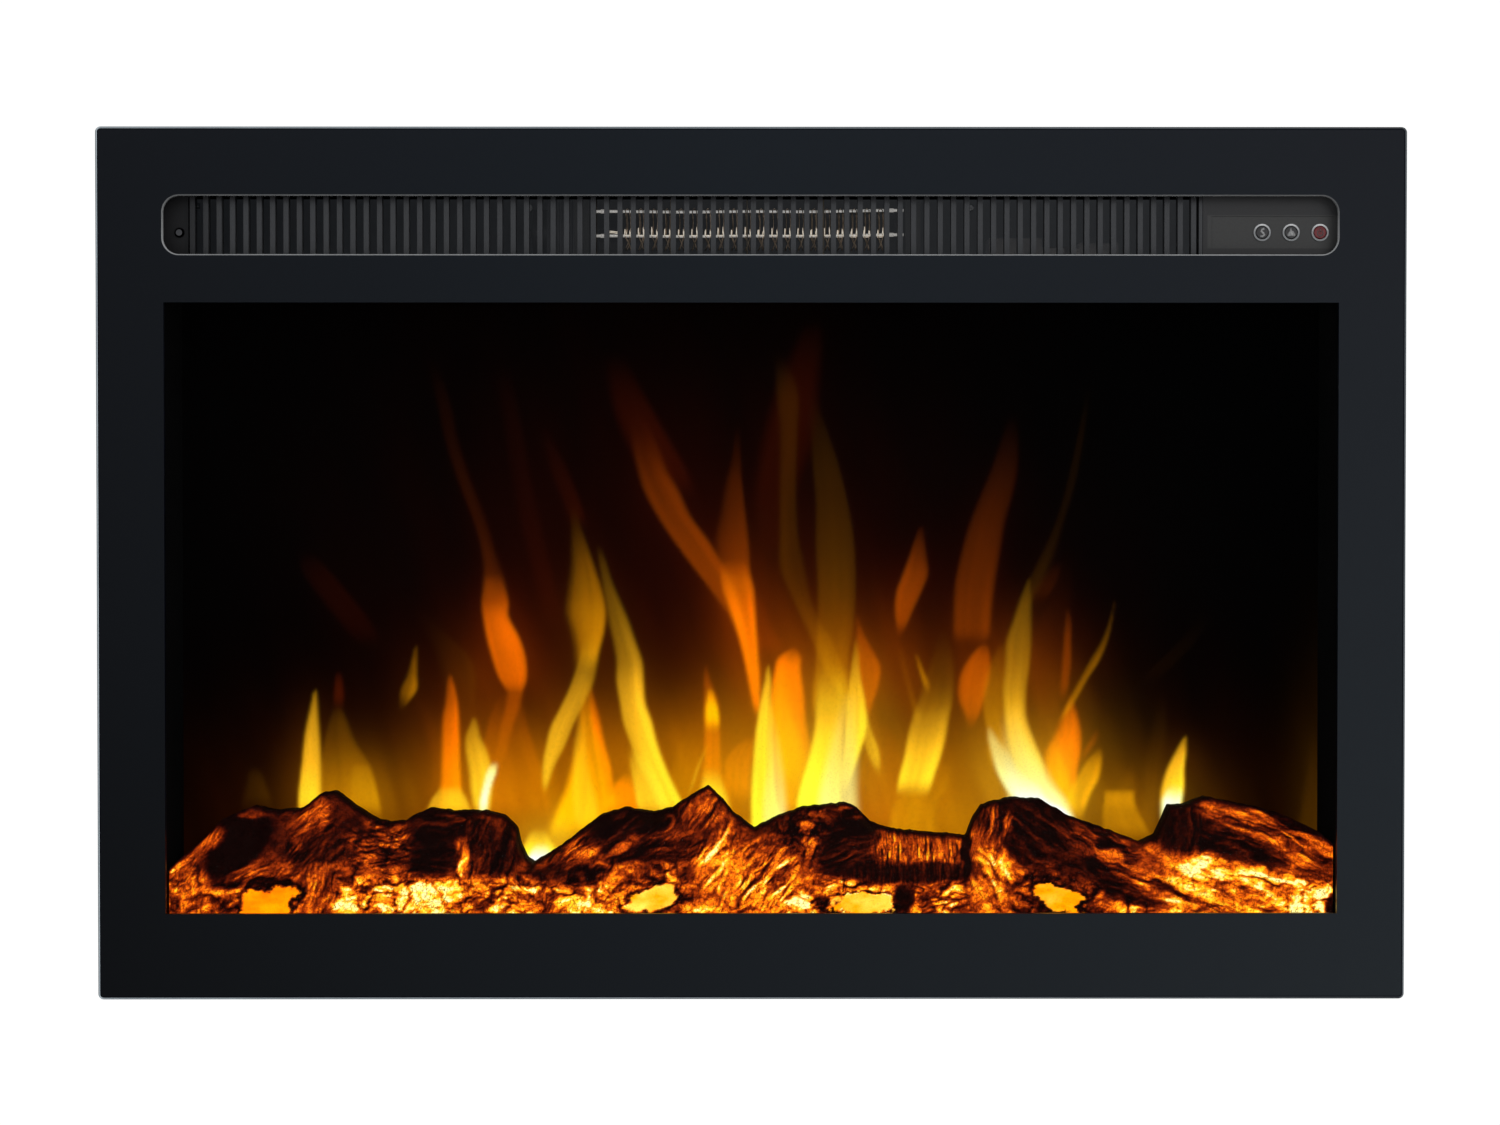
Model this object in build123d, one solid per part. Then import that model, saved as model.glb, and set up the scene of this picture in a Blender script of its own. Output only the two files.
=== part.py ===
from build123d import *
import math
import os

# Electric fireplace insert: a glass front hung on a steel casing, with a cross-flow
# heater behind a slatted slot and a rotating-spindle flame effect behind a log set.
# Millimetres, +Z up, front towards -Y, origin at the centre of the casing's underside.

# ---------------------------------------------------------------- driving dimensions
# Glass front
panel_width = 762.0
panel_height = 508.0
glass_thickness = 4.0
glass_corner_radius = 3.5
glass_edge_chamfer = 0.8
window_side_margin = 39.5
window_bottom_margin = 50.0
slot_height = 34.5
slot_radius = 9.0
slot_side_margin = 38.5
slot_top_margin = 40.5
slot_window_gap = 27.0
tape_thickness = 1.0
tape_inset = 3.0

# Steel frame behind the glass
frame_sheet = 1.2
frame_inset = 3.0
frame_corner_radius = 2.0
frame_gap = 15.0
frame_window_margin = 3.0
frame_slot_margin = 1.5
frame_lip_depth = 6.0

# Casing
panel_below_casing = 25.0
casing_sheet = 1.0
cover_gap = 2.7
rear_clearance = 10.0
flange_gap = 0.8
rear_lip_width = 12.0
top_lip_depth = 15.0
base_tab_width = 20.0
base_tab_height = 12.0
fit_gap = 0.5

# Hanging studs and their keyholes
stud_radius = 2.5
stud_head_radius = 4.5
stud_head_thickness = 1.5
stud_from_casing = 10.0
stud_from_panel_end = 74.0
keyhole_clearance = 0.2
keyhole_drop = 12.0

# Casing screws
screw_radius = 1.9
screw_head_radius = 4.0
screw_head_height = 2.0
screw_length = 6.0
screw_hole_clearance = 0.1

# Side fixing holes and cord entry
fixing_hole_radius = 2.5
fixing_from_edge = 34.0
fixing_from_end = 79.0
gland_bore_radius = 3.7
gland_wall = 2.3
gland_flange_radius = 10.0
gland_flange_thickness = 2.5
gland_nut_radius = 10.0
gland_nut_thickness = 4.0
gland_from_back = 30.0
vent_width = 3.0
vent_pitch = 9.0
vent_count = 12
vent_height = 16.0
vent_margin = 6.0

# Shelf under the heater compartment
shelf_gap = 3.2
shelf_sheet = 1.0

# Slatted grille
grille_setback = 1.0
grille_overlap = 2.0
grille_wall = 2.0
grille_flange = 7.0
grille_flange_thickness = 2.0
slat_width = 2.9
slat_pitch = 7.78
slat_depth = 9.0
grille_end_pad = 13.7
grille_post = 2.0
grille_screw_radius = 1.7
grille_screw_head_radius = 3.0
grille_screw_head_height = 1.8
grille_screw_from_end = 8.5
grille_screw_below_centre = 3.0
grille_screw_reach = 3.0
pad_setback = 5.0

# Control fascia, its buttons and board
fascia_width = 81.0
fascia_wall = 2.0
fascia_gap = 0.3
recess_depth = 0.5
recess_height = 19.0
recess_side_margin = 5.0
recess_end_margin = 1.5
button_radius = 3.7
button_gap = 0.3
button_pitch = 16.9
button_from_end = 10.9
button_below_centre = 3.0
button_proud = 0.4
button_edge = 0.5
button_collar_thickness = 1.0
button_collar_gap = 0.3
button_collar_overlap = 0.9
button_stem_width = 2.4
button_stem_length = 1.1
button_stem_gap = 0.3
button_travel = 1.0
bezel_radius = 5.0
bezel_thickness = 0.6
board_thickness = 1.6
board_half_height = 11.0
board_end_gap = 5.0
board_post_radius = 2.2
board_post_inset = 4.0
switch_size = 6.0
switch_height = 3.5
switch_stem_radius = 1.6
switch_stem_height = 0.3
receiver_size = 6.0

# Heater
heater_length = 180.0
heater_offset = -2.5
heater_duct_depth = 40.0
heater_duct_margin = 3.0
duct_sheet = 0.8
duct_flange = 8.0
rod_radius = 1.2
rod_spacing = 15.0
rod_rise = 3.8
rod_setback = 5.5
rod_end_gap = 1.0
card_setback = 1.2
wire_clearance = 0.4
card_thickness = 0.8
card_depth = 26.0
card_count = 5
wire_width = 0.8
wire_thickness = 0.5
wire_pitch = 8.2
wire_loop_width = 3.4
wire_setback = 2.0
wire_bank_spacing = 12.0
wire_reach = 5.0
cutout_radius = 8.0
cutout_height = 8.0

# Blower
impeller_radius = 19.0
impeller_hub_radius = 13.0
impeller_blades = 18
blade_thickness = 0.7
blade_lean = 35.0
impeller_disc = 1.2
impeller_discs = 3
blower_shaft_radius = 2.5
running_clearance = 0.05
scroll_gap = 4.0
scroll_sheet = 1.0
scroll_lap = 6.0
scroll_tongue = 7.0
scroll_tongue_drop = 6.0
shaft_hole_gap = 1.0
shaft_stub = 4.0
blade_inset = 0.3
blower_hub_radius = 5.0
blower_hub_length = 6.0
blower_end_gap = 3.0
stack_height = 40.0
stack_length = 58.0
stack_thickness = 16.0
stack_leg = 10.0
rotor_gap = 0.5
rotor_radius = 12.0
coil_thickness = 7.0
coil_end_gap = 0.5
stack_bridge = 3.0
motor_bell_depth = 9.0
motor_bell_wall = 2.0
bush_radius = 7.0

# Firebox
firebox_margin = 3.5
side_sheet = 1.0
side_stand_off = 4.0
screen_setback = 68.0
screen_thickness = 3.0
template_sheet = 0.8
template_gap = 14.0
template_height = 285.0
template_flames = 9
template_border = 20.0
template_base = 60.0
template_lip = 12.0

# Flame spindle
spindle_from_template = 27.0
spindle_height = 42.0
spindle_radius = 2.0
bar_width = 4.0
reflector_radius = 14.0
reflector_length = 30.0
reflector_thickness = 0.5
reflector_count = 15
reflector_turn = 47.0
reflector_bend = 160.0
spindle_end_gap = 45.0
spindle_side_gap = 2.0
spindle_bush_radius = 5.0
coupling_stub_radius = 3.0
coupling_stub_length = 10.0
running_gap = 0.8
bracket_foot = 12.0
spindle_motor_radius = 24.0
spindle_motor_depth = 18.0
coupling_radius = 5.0
coupling_length = 16.0
bracket_sheet = 1.5

# Flame and ember lights
heatsink_sheet = 2.0
heatsink_height = 60.0
heatsink_foot = 20.0
heatsink_from_spindle = 26.0
heatsink_end_gap = 15.0
led_board_height = 18.0
led_size = 5.0
led_thickness = 1.6
led_pitch = 42.0
ember_board_width = 16.0
ember_board_end_gap = 2.0

# Log tray and log set
tray_height = 14.0
tray_sheet = 1.0
log_front_gap = 6.0
log_back_gap = 4.0
log_end_gap = 0.6
log_wall = 8.0
log_sides = 10
bed_front_height = 22.0
bed_top_height = 40.0
bed_slope_depth = 14.0
diffuser_thickness = 2.0
diffuser_gap = 1.0
diffuser_rise = 7.0
knot_hole_rise = 19.5

# Power electronics
power_board_width = 110.0
power_board_depth = 80.0
power_board_gap = 40.0
power_board_setback = 25.0
board_edge = 12.0
board_part_gap = 5.0
relay_count = 3
relay_width = 19.0
relay_depth = 15.0
relay_height = 16.0
transformer_width = 32.0
transformer_depth = 28.0
transformer_height = 24.0
capacitor_radius = 7.0
capacitor_height = 20.0
fin_count = 5
fin_pitch = 5.5
fin_thickness = 2.0
fin_depth = 14.0
fin_height = 22.0
standoff_inset = 6.0
standoff_height = 6.0
standoff_radius = 2.5
terminal_pitch = 10.0
terminal_poles = 3
terminal_gap = 12.0
terminal_depth = 18.0
terminal_height = 14.0
terminal_entry = 4.6
earth_stud_radius = 2.0
earth_stud_height = 14.0
earth_nut_radius = 4.0
earth_nut_height = 3.2

# ---------------------------------------------------------------- shared places
# Widths, from the panel inwards
window_width = panel_width - 2 * window_side_margin
slot_width = panel_width - 2 * slot_side_margin
side_inner = window_width / 2 + firebox_margin
inner_half = side_inner + side_stand_off
half_casing = inner_half + casing_sheet
ring_half_width = slot_width / 2 + grille_overlap
fascia_right = ring_half_width - fascia_gap
fascia_left = fascia_right - fascia_width
duct_left = heater_offset - heater_length / 2 - heater_duct_margin
duct_right = heater_offset + heater_length / 2 + heater_duct_margin

# Heights, from the casing's underside
panel_bottom = -panel_below_casing
panel_top = panel_bottom + panel_height
slot_top = panel_top - slot_top_margin
slot_bottom = slot_top - slot_height
slot_middle = (slot_top + slot_bottom) / 2
window_bottom = panel_bottom + window_bottom_margin
window_top = slot_bottom - slot_window_gap
window_height = window_top - window_bottom
ring_half_height = slot_height / 2 + grille_overlap
controls_height = slot_middle - button_below_centre
duct_half_height = slot_height / 2 + heater_duct_margin
scroll_radius = impeller_radius + scroll_gap
blower_height = slot_middle - duct_half_height - duct_sheet + scroll_radius
grille_reach = ring_half_height + grille_wall + grille_flange
duct_reach = duct_half_height + duct_sheet + duct_flange
cutout_top = slot_middle + duct_half_height + duct_sheet + cutout_height
scroll_top = blower_height + scroll_radius + scroll_sheet
heater_top = max(slot_middle + grille_reach, slot_middle + duct_reach, cutout_top, scroll_top)
heater_bottom = slot_middle - max(grille_reach, duct_reach)
cover_underside = heater_top + cover_gap
casing_height = cover_underside + casing_sheet
shelf_top = heater_bottom - shelf_gap
shelf_bottom = shelf_top - shelf_sheet
tray_top = tray_height + tray_sheet

# Depths, from the casing's middle
behind_screen = template_gap + spindle_from_template + heatsink_from_spindle + heatsink_foot
casing_depth = screen_setback + screen_thickness + behind_screen + rear_clearance
casing_width = 2 * half_casing
casing_front = -casing_depth / 2
casing_back = casing_depth / 2
wall_face = casing_front + casing_sheet
web_rear = casing_front - frame_gap
web_front = web_rear - frame_sheet
glass_rear = web_front - tape_thickness
grille_front = web_rear + grille_setback
grille_seat = casing_front
grille_ledge = grille_seat - grille_flange_thickness
fascia_rear_wall = grille_front + fascia_wall
button_face = grille_front + recess_depth - bezel_thickness - button_proud
button_collar_front = fascia_rear_wall + button_collar_gap
button_stem_end = button_collar_front + button_collar_thickness + button_stem_length
board_front = button_stem_end + button_stem_gap + button_travel + switch_stem_height + switch_height
duct_front = wall_face
duct_back = duct_front + heater_duct_depth
rod_depth = duct_front + rod_setback
blower_depth = duct_back + scroll_radius
screen_front = casing_front + screen_setback
screen_back = screen_front + screen_thickness
template_front = screen_back + template_gap
spindle_depth = template_front + spindle_from_template
heatsink_front = spindle_depth + heatsink_from_spindle


# ---------------------------------------------------------------- small helpers
def block(x_range, y_range, z_range):
    """A box between two corners, given as (low, high) along each axis."""
    spans = (x_range, y_range, z_range)
    size = [high - low for low, high in spans]
    middle = [(high + low) / 2 for low, high in spans]
    return Pos(*middle) * Box(*size)


def rod_x(radius, x_range, y, z):
    """A cylinder along X."""
    low, high = x_range
    return Pos((low + high) / 2, y, z) * Rot(0, 90, 0) * Cylinder(radius, high - low)


def rod_y(radius, y_range, x, z):
    """A cylinder along Y."""
    low, high = y_range
    return Pos(x, (low + high) / 2, z) * Rot(90, 0, 0) * Cylinder(radius, high - low)


def rod_z(radius, z_range, x, y):
    """A cylinder along Z."""
    low, high = z_range
    return Pos(x, y, (low + high) / 2) * Cylinder(radius, high - low)


def plate_xz(width, height, radius, y_range, z_middle, x_middle=0.0):
    """An upright plate with rounded corners, between two depths."""
    low, high = y_range
    outline = RectangleRounded(width, height, radius)
    plate = extrude(Plane.XZ * outline, amount=high - low)
    return Pos(x_middle, high, z_middle) * plate


def hex_screw(radius, length, head_radius, head_height):
    """A hexagon-headed screw along +Y with the underside of its head at the origin."""
    head = extrude(Plane.XZ * RegularPolygon(head_radius, 6), amount=head_height)
    return head + rod_y(radius, (0, length), 0, 0)


def pan_head_screw(radius, length, head_radius, head_height):
    """A pan-headed screw along +Y with the underside of its head at the origin."""
    head = Rot(90, 0, 0) * Cone(
        head_radius,
        head_radius * 0.6,
        head_height,
        align=(Align.CENTER, Align.CENTER, Align.MIN),
    )
    return head + rod_y(radius, (0, length), 0, 0)


# ---------------------------------------------------------------- glass front
def make_front_glass():
    """Flat glass with ground edges and a rounded air slot cut through it."""
    middle = (panel_bottom + panel_top) / 2
    depths = (glass_rear - glass_thickness, glass_rear)
    glass = plate_xz(panel_width, panel_height, glass_corner_radius, depths, middle)
    glass = chamfer(glass.faces().sort_by(Axis.Y)[0].edges(), glass_edge_chamfer)
    through = (depths[0] - 1, depths[1] + 1)
    glass -= plate_xz(slot_width, slot_height, slot_radius, through, slot_middle)
    slot_edge = glass.faces().sort_by(Axis.Y)[0].inner_wires()[0].edges()
    return chamfer(slot_edge, glass_edge_chamfer / 2)


def panel_sheet(inset, window_margin, slot_margin, depths):
    """A sheet of the panel's outline, less an inset, with window and slot cut out."""
    width = panel_width - 2 * inset
    height = panel_height - 2 * inset
    middle = (panel_bottom + panel_top) / 2
    through = (depths[0] - 1, depths[1] + 1)
    sheet = plate_xz(width, height, frame_corner_radius, depths, middle)
    sheet -= block(
        (-window_width / 2 - window_margin, window_width / 2 + window_margin),
        through,
        (window_bottom - window_margin, window_top + window_margin),
    )
    return sheet - plate_xz(
        slot_width + 2 * slot_margin,
        slot_height + 2 * slot_margin,
        slot_radius + slot_margin,
        through,
        slot_middle,
    )


def make_glass_tape():
    return panel_sheet(
        frame_inset + tape_inset,
        frame_window_margin + tape_inset,
        frame_slot_margin + tape_inset,
        (glass_rear, web_front),
    )


def make_front_frame():
    """Folded steel pan: web, outer returns to the wall and a lip round the window."""
    middle = (panel_bottom + panel_top) / 2
    width = panel_width - 2 * frame_inset
    height = panel_height - 2 * frame_inset
    web = panel_sheet(frame_inset, frame_window_margin, frame_slot_margin, (web_front, web_rear))
    returns = plate_xz(width, height, frame_corner_radius, (web_rear, wall_face), middle)
    returns -= block(
        (-width / 2 + frame_sheet, width / 2 - frame_sheet),
        (web_rear - 1, wall_face + 1),
        (middle - height / 2 + frame_sheet, middle + height / 2 - frame_sheet),
    )
    opening_half = window_width / 2 + frame_window_margin
    opening_low = window_bottom - frame_window_margin
    opening_high = window_top + frame_window_margin
    lip_depths = (web_rear, web_rear + frame_lip_depth)
    lip = block(
        (-opening_half - frame_sheet, opening_half + frame_sheet),
        lip_depths,
        (opening_low - frame_sheet, opening_high + frame_sheet),
    )
    through = (lip_depths[0] - 1, lip_depths[1] + 1)
    lip -= block((-opening_half, opening_half), through, (opening_low, opening_high))
    return web + returns + lip


def stud_places():
    """Where the frame's hanging studs stand, as (x, z)."""
    x = half_casing + stud_from_casing
    heights = (panel_bottom + stud_from_panel_end, panel_top - stud_from_panel_end)
    return [(side * x, z) for side in (-1, 1) for z in heights]


def make_hanging_studs():
    head_start = wall_face + keyhole_clearance
    studs = []
    for x, z in stud_places():
        shank = rod_y(stud_radius, (web_rear, head_start), x, z)
        head = rod_y(stud_head_radius, (head_start, head_start + stud_head_thickness), x, z)
        studs.append(shank + head)
    return Compound(children=studs)


def cut_keyholes(sheet):
    """Keyholes whose narrow lower ends rest on the studs."""
    depths = (casing_front - 1, wall_face + 1)
    narrow = stud_radius + keyhole_clearance
    for x, z in stud_places():
        seat = z + keyhole_clearance
        entry = seat + keyhole_drop
        sheet -= rod_y(narrow, depths, x, seat)
        sheet -= block((x - narrow, x + narrow), depths, (seat, entry))
        sheet -= rod_y(stud_head_radius + keyhole_clearance, depths, x, entry)
    return sheet


# ---------------------------------------------------------------- casing
def flange_outline():
    """Half width, lowest and highest point of the flange inside the frame's returns."""
    inset = frame_inset + frame_sheet + flange_gap
    return panel_width / 2 - inset, panel_bottom + inset, panel_top - inset


def side_screw_places():
    """Screws through each side into the cover's lips, as (y, z)."""
    z = cover_underside - top_lip_depth / 2
    return [(share * casing_depth, z) for share in (-0.3, 0.3)]


def back_screw_places():
    """Screws through the back panel into the rear lips, as (x, z)."""
    x = inner_half - rear_lip_width / 2
    low = casing_sheet + rear_lip_width / 2
    high = cover_underside - rear_lip_width / 2
    sides = [(sx * x, share * casing_height) for sx in (-1, 1) for share in (0.2, 0.5, 0.8)]
    return sides + [(share * casing_width, z) for share in (-0.2, 0.2) for z in (low, high)]


def rear_lip_half():
    """Half width of the base's and the cover's rear lips, between those of the sides."""
    return inner_half - rear_lip_width - fit_gap


def make_casing_base():
    """Folded base with a front flange, a rear lip and tabs welded to the sides."""
    flange_half, flange_low, _ = flange_outline()
    base = block((-half_casing, half_casing), (casing_front, casing_back), (0, casing_sheet))
    base += block((-flange_half, flange_half), (casing_front, wall_face), (flange_low, casing_sheet))
    base += block(
        (-rear_lip_half(), rear_lip_half()),
        (casing_back - casing_sheet, casing_back),
        (casing_sheet, casing_sheet + rear_lip_width),
    )
    for side in (-1, 1):
        tab = sorted((side * (inner_half - casing_sheet), side * inner_half))
        for y, _ in side_screw_places():
            depths = (y - base_tab_width / 2, y + base_tab_width / 2)
            base += block(tab, depths, (casing_sheet, casing_sheet + base_tab_height))
    for x, z in back_screw_places():
        base -= back_screw_hole(x, z)
    return base


def casing_side(side):
    """Folded side on the base, with a front flange and a rear lip."""
    flange_half, _, _ = flange_outline()
    heights = (casing_sheet, cover_underside)
    wall = sorted((side * inner_half, side * half_casing))
    flange = sorted((side * inner_half, side * flange_half))
    lip = sorted((side * (inner_half - rear_lip_width), side * inner_half))
    sheet = block(wall, (casing_front, casing_back), heights)
    sheet += block(flange, (casing_front, wall_face), heights)
    sheet += block(lip, (casing_back - casing_sheet, casing_back), heights)
    sheet -= side_holes(side)
    if side > 0:
        sheet -= gland_hole()
    for x, z in back_screw_places():
        sheet -= back_screw_hole(x, z)
    return cut_keyholes(sheet)


def side_holes(side):
    """Fixing holes and cover screw holes in one side wall."""
    span = sorted((side * (inner_half - 2 * casing_sheet), side * (half_casing + 1)))
    holes = []
    for y in (casing_front + fixing_from_edge, casing_back - fixing_from_edge):
        for z in (fixing_from_end, casing_height - fixing_from_end):
            holes.append(rod_x(fixing_hole_radius, span, y, z))
    for y, z in side_screw_places():
        holes.append(rod_x(screw_radius + screw_hole_clearance, span, y, z))
    return holes


def back_screw_hole(x, z):
    depths = (casing_back - 2 * casing_sheet, casing_back + 2 * casing_sheet)
    return rod_y(screw_radius + screw_hole_clearance, depths, x, z)


def gland_hole():
    radius = gland_bore_radius + gland_wall
    return rod_x(radius, (inner_half - 1, half_casing + 1), casing_back - gland_from_back, slot_middle)


def make_casing_top():
    """Folded cover with a front flange, side lips and a rear lip."""
    depths = (casing_front, casing_back)
    flange_half, _, flange_high = flange_outline()
    cover = block((-half_casing, half_casing), depths, (cover_underside, casing_height))
    cover += block((-flange_half, flange_half), (casing_front, wall_face), (cover_underside, flange_high))
    cover += block(
        (-rear_lip_half(), rear_lip_half()),
        (casing_back - casing_sheet, casing_back),
        (cover_underside - rear_lip_width, cover_underside),
    )
    lip_depths = (wall_face + fit_gap, casing_back - casing_sheet - fit_gap)
    for side in (-1, 1):
        lip = sorted((side * (inner_half - casing_sheet), side * inner_half))
        cover += block(lip, lip_depths, (cover_underside - top_lip_depth, cover_underside))
        cover -= side_holes(side)
    for x, z in back_screw_places():
        cover -= back_screw_hole(x, z)
    return cover


def make_back_panel():
    """Rear sheet with two groups of upright cooling slots and its screw holes."""
    panel = block(
        (-half_casing, half_casing),
        (casing_back, casing_back + casing_sheet),
        (0, casing_height),
    )
    depths = (casing_back - 1, casing_back + casing_sheet + 1)
    heights = (shelf_top + vent_margin, shelf_top + vent_margin + vent_height)
    slots = []
    for centre in (-casing_width / 4, casing_width / 4):
        for index in range(vent_count):
            x = centre + (index - (vent_count - 1) / 2) * vent_pitch
            slots.append(block((x - vent_width / 2, x + vent_width / 2), depths, heights))
    panel -= slots
    for x, z in back_screw_places():
        panel -= back_screw_hole(x, z)
    return panel


def make_casing_screws():
    """Identical self-tapping screws of the cover and the back panel."""
    screw = hex_screw(screw_radius, screw_length, screw_head_radius, screw_head_height)
    screws = []
    for y, z in side_screw_places():
        screws.append(Pos(-half_casing, y, z) * Rot(0, 0, -90) * screw)
        screws.append(Pos(half_casing, y, z) * Rot(0, 0, 90) * screw)
    for x, z in back_screw_places():
        screws.append(Pos(x, casing_back + casing_sheet, z) * Rot(0, 0, 180) * screw)
    return Compound(children=screws)


# ---------------------------------------------------------------- heater shelf and grille
def slat_range():
    """The stretch of the slot that the slats fill, from left to right."""
    return -slot_width / 2 + grille_end_pad, fascia_left - fascia_gap - grille_post


def make_plenum_shelf():
    """Folded shelf over the firebox, with an upright front that seats the grille."""
    shelf = block(
        (-inner_half, inner_half),
        (casing_front, casing_back - casing_sheet),
        (shelf_bottom, shelf_top),
    )
    shelf += block((-inner_half, inner_half), (casing_front, wall_face), (shelf_bottom, cover_underside))
    depths = (casing_front - 1, wall_face + 1)
    shelf -= block(slat_range(), depths, (slot_bottom, slot_top))
    shelf -= board_window(depths)
    for x, z in grille_screw_places():
        shelf -= rod_y(grille_screw_radius, depths, x, z)
    return shelf


def board_range():
    """Left and right edge of the control board."""
    return fascia_left + fascia_wall + fit_gap, fascia_right - fascia_wall - board_end_gap


def board_heights():
    return controls_height - board_half_height, controls_height + board_half_height


def board_window(depths):
    """The clear way behind the control board for its wires."""
    left, right = board_range()
    low, high = board_heights()
    return block((left - fit_gap, right + fit_gap), depths, (low - fit_gap, high + fit_gap))


def grille_screw_places():
    """One screw in the grille's end pad and two in its flange, as (x, z)."""
    left = -slot_width / 2 + grille_screw_from_end
    right = ring_half_width - grille_screw_from_end
    reach = grille_reach - grille_flange / 2
    return [
        (left, slot_middle - grille_screw_below_centre),
        (right, slot_middle + reach),
        (right, slot_middle - reach),
    ]


def grille_ring(depths, growth):
    """A solid with the outline of the grille's rim, grown by some amount."""
    return plate_xz(
        2 * (ring_half_width + growth),
        2 * (ring_half_height + growth),
        slot_radius + grille_overlap + growth,
        depths,
        slot_middle,
    )


def make_outlet_grille():
    """Moulded rim with upright slats, an end pad for a screw and a seat for the fascia."""
    depths = (grille_front, grille_seat)
    through = (grille_front - 1, grille_seat + 1)
    rim = grille_ring(depths, grille_wall) - grille_ring(through, 0)
    outer_half = ring_half_width + grille_wall
    flange_heights = (slot_middle - grille_reach, slot_middle + grille_reach)
    flange = block((-outer_half, outer_half), (grille_ledge, grille_seat), flange_heights)
    rim += flange - grille_ring(through, 0)
    left, right = slat_range()
    inside = (slot_middle - ring_half_height, slot_middle + ring_half_height)
    pad = block((-ring_half_width, left), (grille_front + pad_setback, grille_seat), inside)
    post = block((right, right + grille_post), depths, inside)
    seat = block((right, ring_half_width), (grille_ledge, grille_seat), inside)
    body = grille_ring(depths, grille_wall / 2)
    rim += (pad & body) + post + (seat & body)
    rim -= board_window(through)
    count = int((right - left - slat_width) / slat_pitch) + 1
    first = (left + right) / 2 - (count - 1) * slat_pitch / 2
    slats = []
    half = slat_width / 2
    for index in range(count):
        x = first + index * slat_pitch
        slats.append(block((x - half, x + half), (grille_front, grille_front + slat_depth), inside))
    rim += slats
    for x, z in grille_screw_places():
        rim -= rod_y(grille_screw_radius, through, x, z)
    return rim


def make_grille_screws():
    screws = []
    for index, (x, z) in enumerate(grille_screw_places()):
        under_head = grille_front + pad_setback if index == 0 else grille_ledge
        length = wall_face + grille_screw_reach - under_head
        head = (grille_screw_head_radius, grille_screw_head_height)
        screws.append(Pos(x, under_head, z) * pan_head_screw(grille_screw_radius, length, *head))
    return Compound(children=screws)


# ---------------------------------------------------------------- controls
def button_places():
    """Centres of the three buttons along X, from left to right."""
    last = slot_width / 2 - button_from_end
    return [last - 2 * button_pitch, last - button_pitch, last]


def board_post_places():
    """Centres of the two posts that carry the control board."""
    left, _ = board_range()
    return [left + board_post_inset, (left + button_places()[0]) / 2]


def fascia_solid(inset, depths):
    """The fascia's outline, round at its right-hand corners, less an inset."""
    radius = slot_radius + grille_overlap - fascia_gap - inset
    half_height = ring_half_height - fascia_gap - inset
    right = fascia_right - inset
    left = fascia_left + inset
    whole = plate_xz(2 * right, 2 * half_height, radius, depths, slot_middle)
    return whole & block((left, right), depths, (slot_middle - half_height, slot_middle + half_height))


def make_control_fascia():
    """Moulded cover with a shallow recess, three bezel holes and two board posts."""
    fascia = fascia_solid(0, (grille_front, grille_ledge))
    fascia -= fascia_solid(fascia_wall, (fascia_rear_wall, grille_ledge + 1))
    fascia -= block(
        (fascia_left + recess_side_margin, slot_width / 2 - recess_end_margin),
        (grille_front - 1, grille_front + recess_depth),
        (controls_height - recess_height / 2, controls_height + recess_height / 2),
    )
    through = (grille_front - 1, fascia_rear_wall + 1)
    for x in button_places():
        fascia -= rod_y(button_radius + button_gap, through, x, controls_height)
    for x in board_post_places():
        fascia += rod_y(board_post_radius, (fascia_rear_wall, board_front), x, controls_height)
    return fascia


def make_button_bezels():
    """Bright rings seated on the recess round the buttons."""
    bezels = []
    face = grille_front + recess_depth
    for x in button_places():
        ring = rod_y(bezel_radius, (face - bezel_thickness, face), x, controls_height)
        bezels.append(ring - rod_y(button_radius + button_gap, (face - 2, face + 1), x, controls_height))
    return Compound(children=bezels)


def make_button(x):
    """Push button: chamfered cap, retaining collar and a square stem."""
    cap = rod_y(button_radius, (button_face, button_collar_front), x, controls_height)
    cap = chamfer(cap.faces().sort_by(Axis.Y)[0].edges(), button_edge)
    collar_back = button_collar_front + button_collar_thickness
    collar_radius = button_radius + button_gap + button_collar_overlap
    collar = rod_y(collar_radius, (button_collar_front, collar_back), x, controls_height)
    half = button_stem_width / 2
    stem = block(
        (x - half, x + half),
        (collar_back, button_stem_end),
        (controls_height - half, controls_height + half),
    )
    return cap + collar + stem


def make_control_board():
    return block(board_range(), (board_front, board_front + board_thickness), board_heights())


def make_touch_switches():
    switches = []
    half = switch_size / 2
    heights = (controls_height - half, controls_height + half)
    top = board_front - switch_height
    for x in button_places():
        base = block((x - half, x + half), (top, board_front), heights)
        base += rod_y(switch_stem_radius, (top - switch_stem_height, top), x, controls_height)
        switches.append(base)
    return Compound(children=switches)


def make_remote_receiver():
    """Infrared receiver: a small block with a round lens towards the front."""
    x = sum(board_post_places()) / 2
    half = receiver_size / 2
    depths = (board_front - receiver_size * 0.6, board_front)
    body = block((x - half, x + half), depths, (controls_height - half, controls_height + half))
    return body + rod_y(half * 0.8, (depths[0] - half * 0.3, depths[0]), x, controls_height)


# ---------------------------------------------------------------- heater
def duct_heights(growth):
    """Lowest and highest point of the duct's bore, grown by some amount."""
    reach = duct_half_height + growth
    return slot_middle - reach, slot_middle + reach


def make_heater_duct():
    """Rectangular sheet duct with a front flange that seats on the shelf's upright."""
    depths = (duct_front, duct_back)
    through = (duct_front - 1, duct_back + 1)
    inside = block((duct_left, duct_right), through, duct_heights(0))
    duct = block((duct_left - duct_sheet, duct_right + duct_sheet), depths, duct_heights(duct_sheet))
    grown = duct_sheet + duct_flange
    flange = (duct_left - grown, duct_right + grown)
    duct += block(flange, (duct_front, duct_front + duct_sheet), duct_heights(grown))
    return duct - inside


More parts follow.
